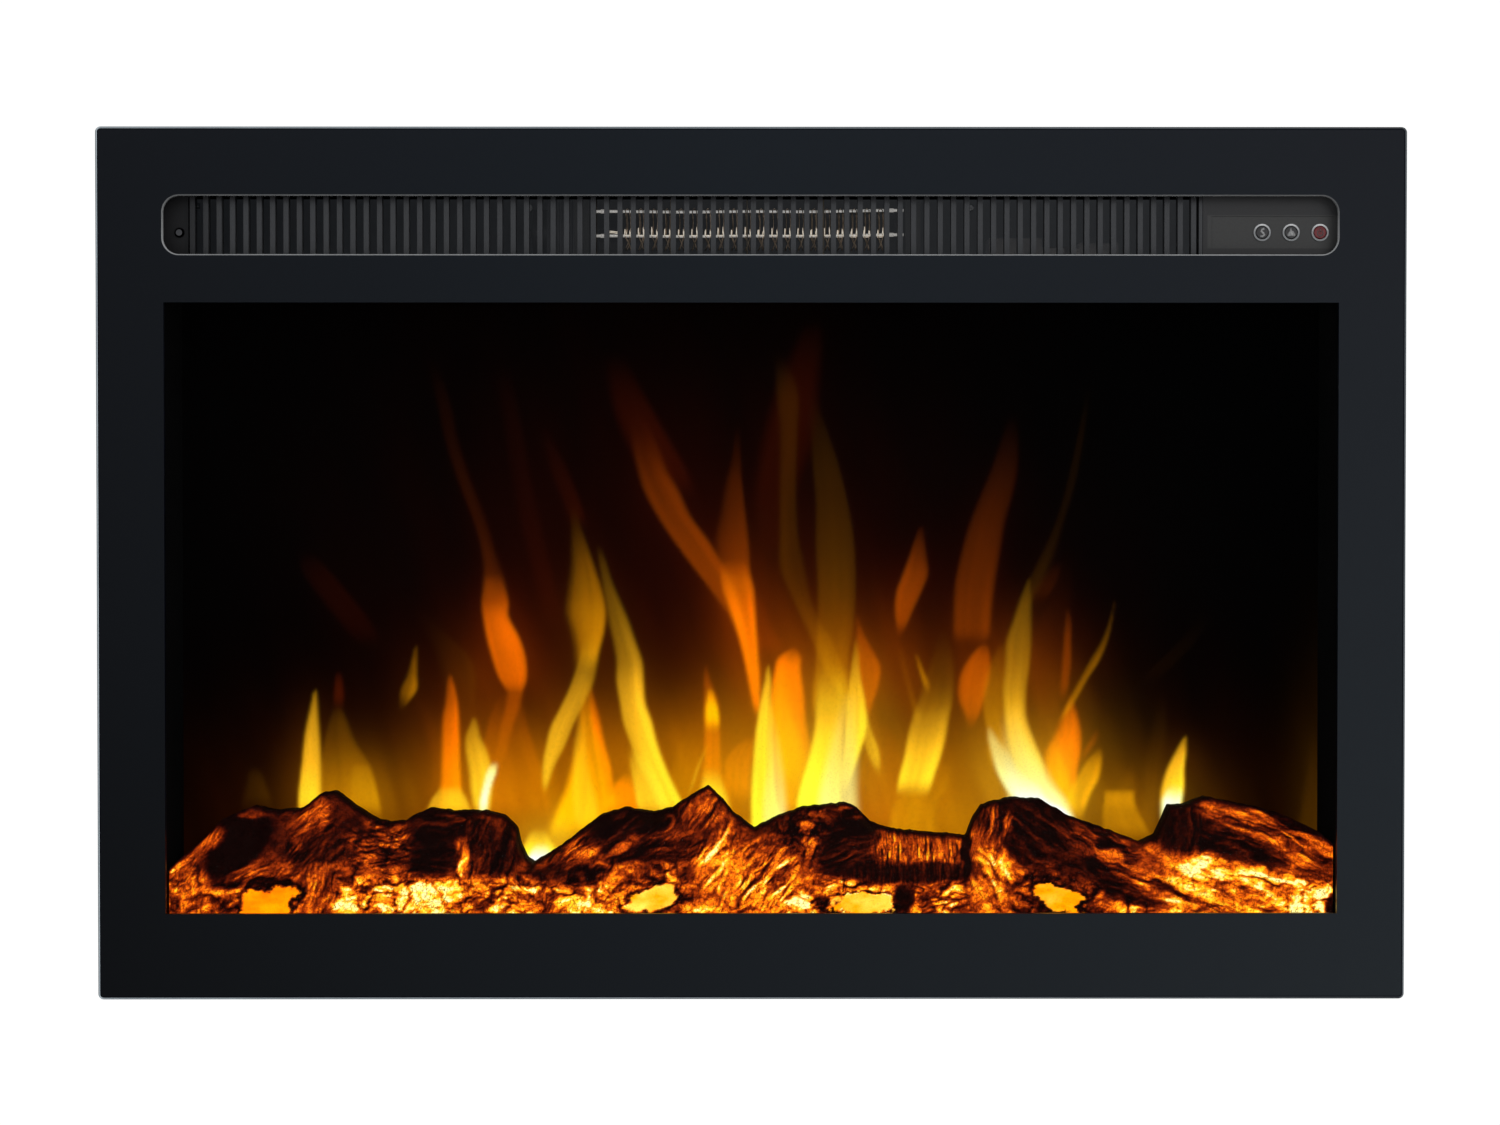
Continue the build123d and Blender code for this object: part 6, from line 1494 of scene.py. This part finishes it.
def heater_wires():
    """Two banks of folded wire, with a short lead at the left end of each."""
    low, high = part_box("heater_wires")
    rods_low, rods_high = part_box("heater_rods")
    upper, lower = rods_high.z - FOLD_BELOW_TOP * MM, rods_low.z + FOLD_ABOVE_FOOT * MM
    lead = lower + LEAD_RISE * MM
    rng = random.Random(8)
    bars = []
    for y in (low.y + BANK_INSET * MM, high.y - BANK_INSET * MM):
        for index in range(FOLDS):
            middle = LAST_FOLD * MM - FOLD_PITCH * MM * index + rng.uniform(-0.3, 0.3) * MM
            bars += wire_fold(middle, y, upper, lower, (low.z, high.z), rng)
        lead_line = [(low.x, y, lead), (low.x + 4 * MM, y, lead), (low.x + 8 * MM, y, lead - 0.5 * MM)]
        bars.append((lead_line, WIRE * MM, 1))
    piece = add_bars("heater_wire_banks", bars, ("resistance_wire", "glinting_tip"))
    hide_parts("heater_wires")


heater_rods()
heater_wires()

# -------- button icons

# The flame on the second button, as strokes (z, left, right), and the swirl on the first, (x, z), in mm.
FLAME_ICON = [(-1.8, -2.2, 2.2), (-1.35, -2.2, 2.3), (-0.9, -2.0, 2.2), (-0.45, -1.8, 1.9), (0.0, -1.4, 1.6),
              (0.45, -1.1, 1.4), (0.9, -0.9, 0.5), (1.35, -0.8, 0.3), (1.8, -0.6, 0.1), (2.2, -0.35, -0.05)]
HEAT_ICON = [(-1.3, -2.1), (0.2, -2.3), (1.2, -1.4), (0.5, -0.3), (-0.6, 0.6), (-0.2, 1.7), (1.2, 2.2)]


def icon_bars(node, strokes):
    """Bars on a cap's front from strokes (outline, width), in mm from the cap's middle."""
    low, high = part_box(node)
    middle_x, middle_z = (low.x + high.x) / 2, (low.z + high.z) / 2
    return [([(middle_x + x * MM, low.y, middle_z + z * MM) for x, z in outline], width * MM / 2, 0)
            for outline, width in strokes]


def pressed_flat(piece, front):
    """Flattens an icon's bars into a print that stands less than 0.1 mm proud of the cap."""
    kept_share = 0.15
    for vertex in piece.data.vertices:
        vertex.co.y = front + (vertex.co.y - front) * kept_share


def button_icons():
    """Raised prints on the three caps: a swirl of heat, a flame over a log, and the power sign."""
    arc = [(1.7 * math.sin(a), -0.3 - 1.7 * math.cos(a)) for a in np.linspace(-2.45, 2.45, 25)]
    rows = [([(left, z), ((left + right) / 2, z + 0.1), (right, z)], 0.62) for z, left, right in FLAME_ICON]
    icons = (("button_heat", "heat_button", "icon_grey", "button_dark", [(HEAT_ICON, 1.2)]),
             ("button_flame", "flame_button", "icon_grey", "button_dark", rows),
             ("button_power", "power_button", "icon_red", "button_red",
              [(arc, 0.75), ([(0, 0.2), (0, 1.2), (0, 2.3)], 0.75)]))
    for node, body, finish, slot_name, strokes in icons:
        piece = add_bars(node.replace("button", "icon"), icon_bars(node, strokes), (finish,), body)
        pressed_flat(piece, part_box(node)[0].y)


button_icons()

# -------- the ember diffuser


def diffuser_finish():
    """Frosted amber plastic, brighter in soft patches."""
    made = Finish("ember_plastic")
    pools = made.noise(28, 3)
    made.paint(pools, [(0.3, (0.55, 0.20, 0.03)), (0.7, (0.80, 0.38, 0.06))])
    made.link(made.ramp(pools, [(0.3, (0.75, 0.16, 0.004)), (0.7, (1.0, 0.42, 0.02))]), "Emission Color")
    made.roughen(made.noise(600), 0.35, 0.55)
    return made.bump(made.noise(900, 2), 0.03).set(Emission_Strength=0.9)


FINISHES["ember_plastic"] = diffuser_finish()
wear(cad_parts["ember_diffuser"], "ember_plastic")

# -------- stage, light and camera

# Strengths of the soft light, of the white that the camera and mirrors see, and of the floor's glow,
# then the glow's share in what is seen of the floor.
SOFT_LIGHT, SEEN_WHITE, SEEN_FLOOR, FLOOR_SHARE = 0.62, 1.03, 1.08, 0.88


def seen_directly(nodes, links):
    """1 where a ray comes from the camera, a mirror or clear glass, otherwise 0."""
    path = nodes.new("ShaderNodeLightPath")
    seen = path.outputs["Is Camera Ray"]
    for ray in ("Is Glossy Ray", "Is Transmission Ray"):
        either = nodes.new("ShaderNodeMath")
        either.operation = "MAXIMUM"
        links.new(seen, either.inputs[0])
        links.new(path.outputs[ray], either.inputs[1])
        seen = either.outputs[0]
    return seen


def world_light():
    """Soft white surroundings, which look plain white wherever they are seen."""
    world = bpy.data.worlds.new("studio")
    bpy.context.scene.world = world
    world.use_nodes = True
    nodes, links = world.node_tree.nodes, world.node_tree.links
    nodes.clear()
    out = nodes.new("ShaderNodeOutputWorld")
    mix = nodes.new("ShaderNodeMixShader")
    shades = ((SOFT_LIGHT, (0.96, 0.98, 1.0, 1)), (SEEN_WHITE, (1, 1, 1, 1)))
    for socket, (strength, colour) in zip(mix.inputs[1:], shades):
        shade = nodes.new("ShaderNodeBackground")
        shade.inputs["Strength"].default_value = strength
        shade.inputs["Color"].default_value = colour
        links.new(shade.outputs[0], socket)
    links.new(seen_directly(nodes, links), mix.inputs[0])
    links.new(mix.outputs[0], out.inputs[0])


def floor():
    """A wide pale floor below the object, which keeps its shadow."""
    drop, reach = 0.35, 14.0
    bm = bmesh.new()
    bmesh.ops.create_grid(bm, x_segments=8, y_segments=8, size=reach)
    mesh = bpy.data.meshes.new("floor")
    bm.to_mesh(mesh)
    bm.free()
    made = bpy.data.objects.new("floor", mesh)
    made.location = (0, 0, cad_box[0].z - drop)
    bpy.context.scene.collection.objects.link(made)
    white = Finish("floor_white")
    white.paint(white.noise(3), [(0.2, (0.86, 0.86, 0.86)), (0.8, (0.90, 0.90, 0.90))])
    white.set(Roughness=0.9, Specular_IOR_Level=0.0)
    seen = seen_directly(white.nodes, white.links)
    glow = white.node("ShaderNodeEmission")
    glow.inputs["Strength"].default_value = SEEN_FLOOR
    blend = white.node("ShaderNodeMixShader")
    white.links.new(white.math("MULTIPLY", seen, FLOOR_SHARE), blend.inputs[0])
    white.links.new(white.shader.outputs[0], blend.inputs[1])
    white.links.new(glow.outputs[0], blend.inputs[2])
    white.links.new(blend.outputs[0], white.output.inputs[0])
    mesh.materials.append(white.material)


def lamp(name, place, aim, size, power, colour):
    """A rectangular lamp, aimed at a point: its size in metres and its power in watts."""
    data = bpy.data.lights.new(name, "AREA")
    data.shape = "RECTANGLE"
    data.size, data.size_y = size
    data.energy = power
    data.color = colour
    made = bpy.data.objects.new(name, data)
    made.location = place
    made.rotation_mode = "QUATERNION"
    made.rotation_quaternion = (Vector(aim) - Vector(place)).to_track_quat("-Z", "Y")
    bpy.context.scene.collection.objects.link(made)


def camera():
    """Nearly square on to the panel, a little above its middle and a touch to its left."""
    low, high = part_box("front_glass")
    distance, rise, aside = 2.0, math.radians(1.2), math.radians(0.3)
    panel_share, sensor = 0.873, 36.0
    shift, lift = 1.0 * MM, 0.9 * MM
    target = Vector((-shift, low.y, (low.z + high.z) / 2 + lift))
    back = Vector((-math.sin(aside) * math.cos(rise), -math.cos(aside) * math.cos(rise), math.sin(rise)))
    data = bpy.data.cameras.new("camera")
    data.sensor_width = sensor
    data.lens = sensor * distance * panel_share / (high.x - low.x)
    made = bpy.data.objects.new("camera", data)
    made.location = target + back * distance
    made.rotation_mode = "QUATERNION"
    made.rotation_quaternion = (-back).to_track_quat("-Z", "Y")
    bpy.context.scene.collection.objects.link(made)
    bpy.context.scene.camera = made


world_light()
floor()
lamp("key", (1.3, -1.5, 1.2), (0.1, -0.1, 0.2), (1.2, 1.2), 22, (1.0, 1.0, 1.0))
lamp("fill", (-1.6, -1.8, 0.7), (0, 0, 0.2), (1.6, 1.6), 8, (0.92, 0.97, 1.0))
lamp("back", (0.6, 2.2, 1.4), (0, 0, 0.2), (1.6, 1.2), 26, (1.0, 1.0, 1.0))
camera()
bpy.context.scene.view_settings.view_transform = "Standard"
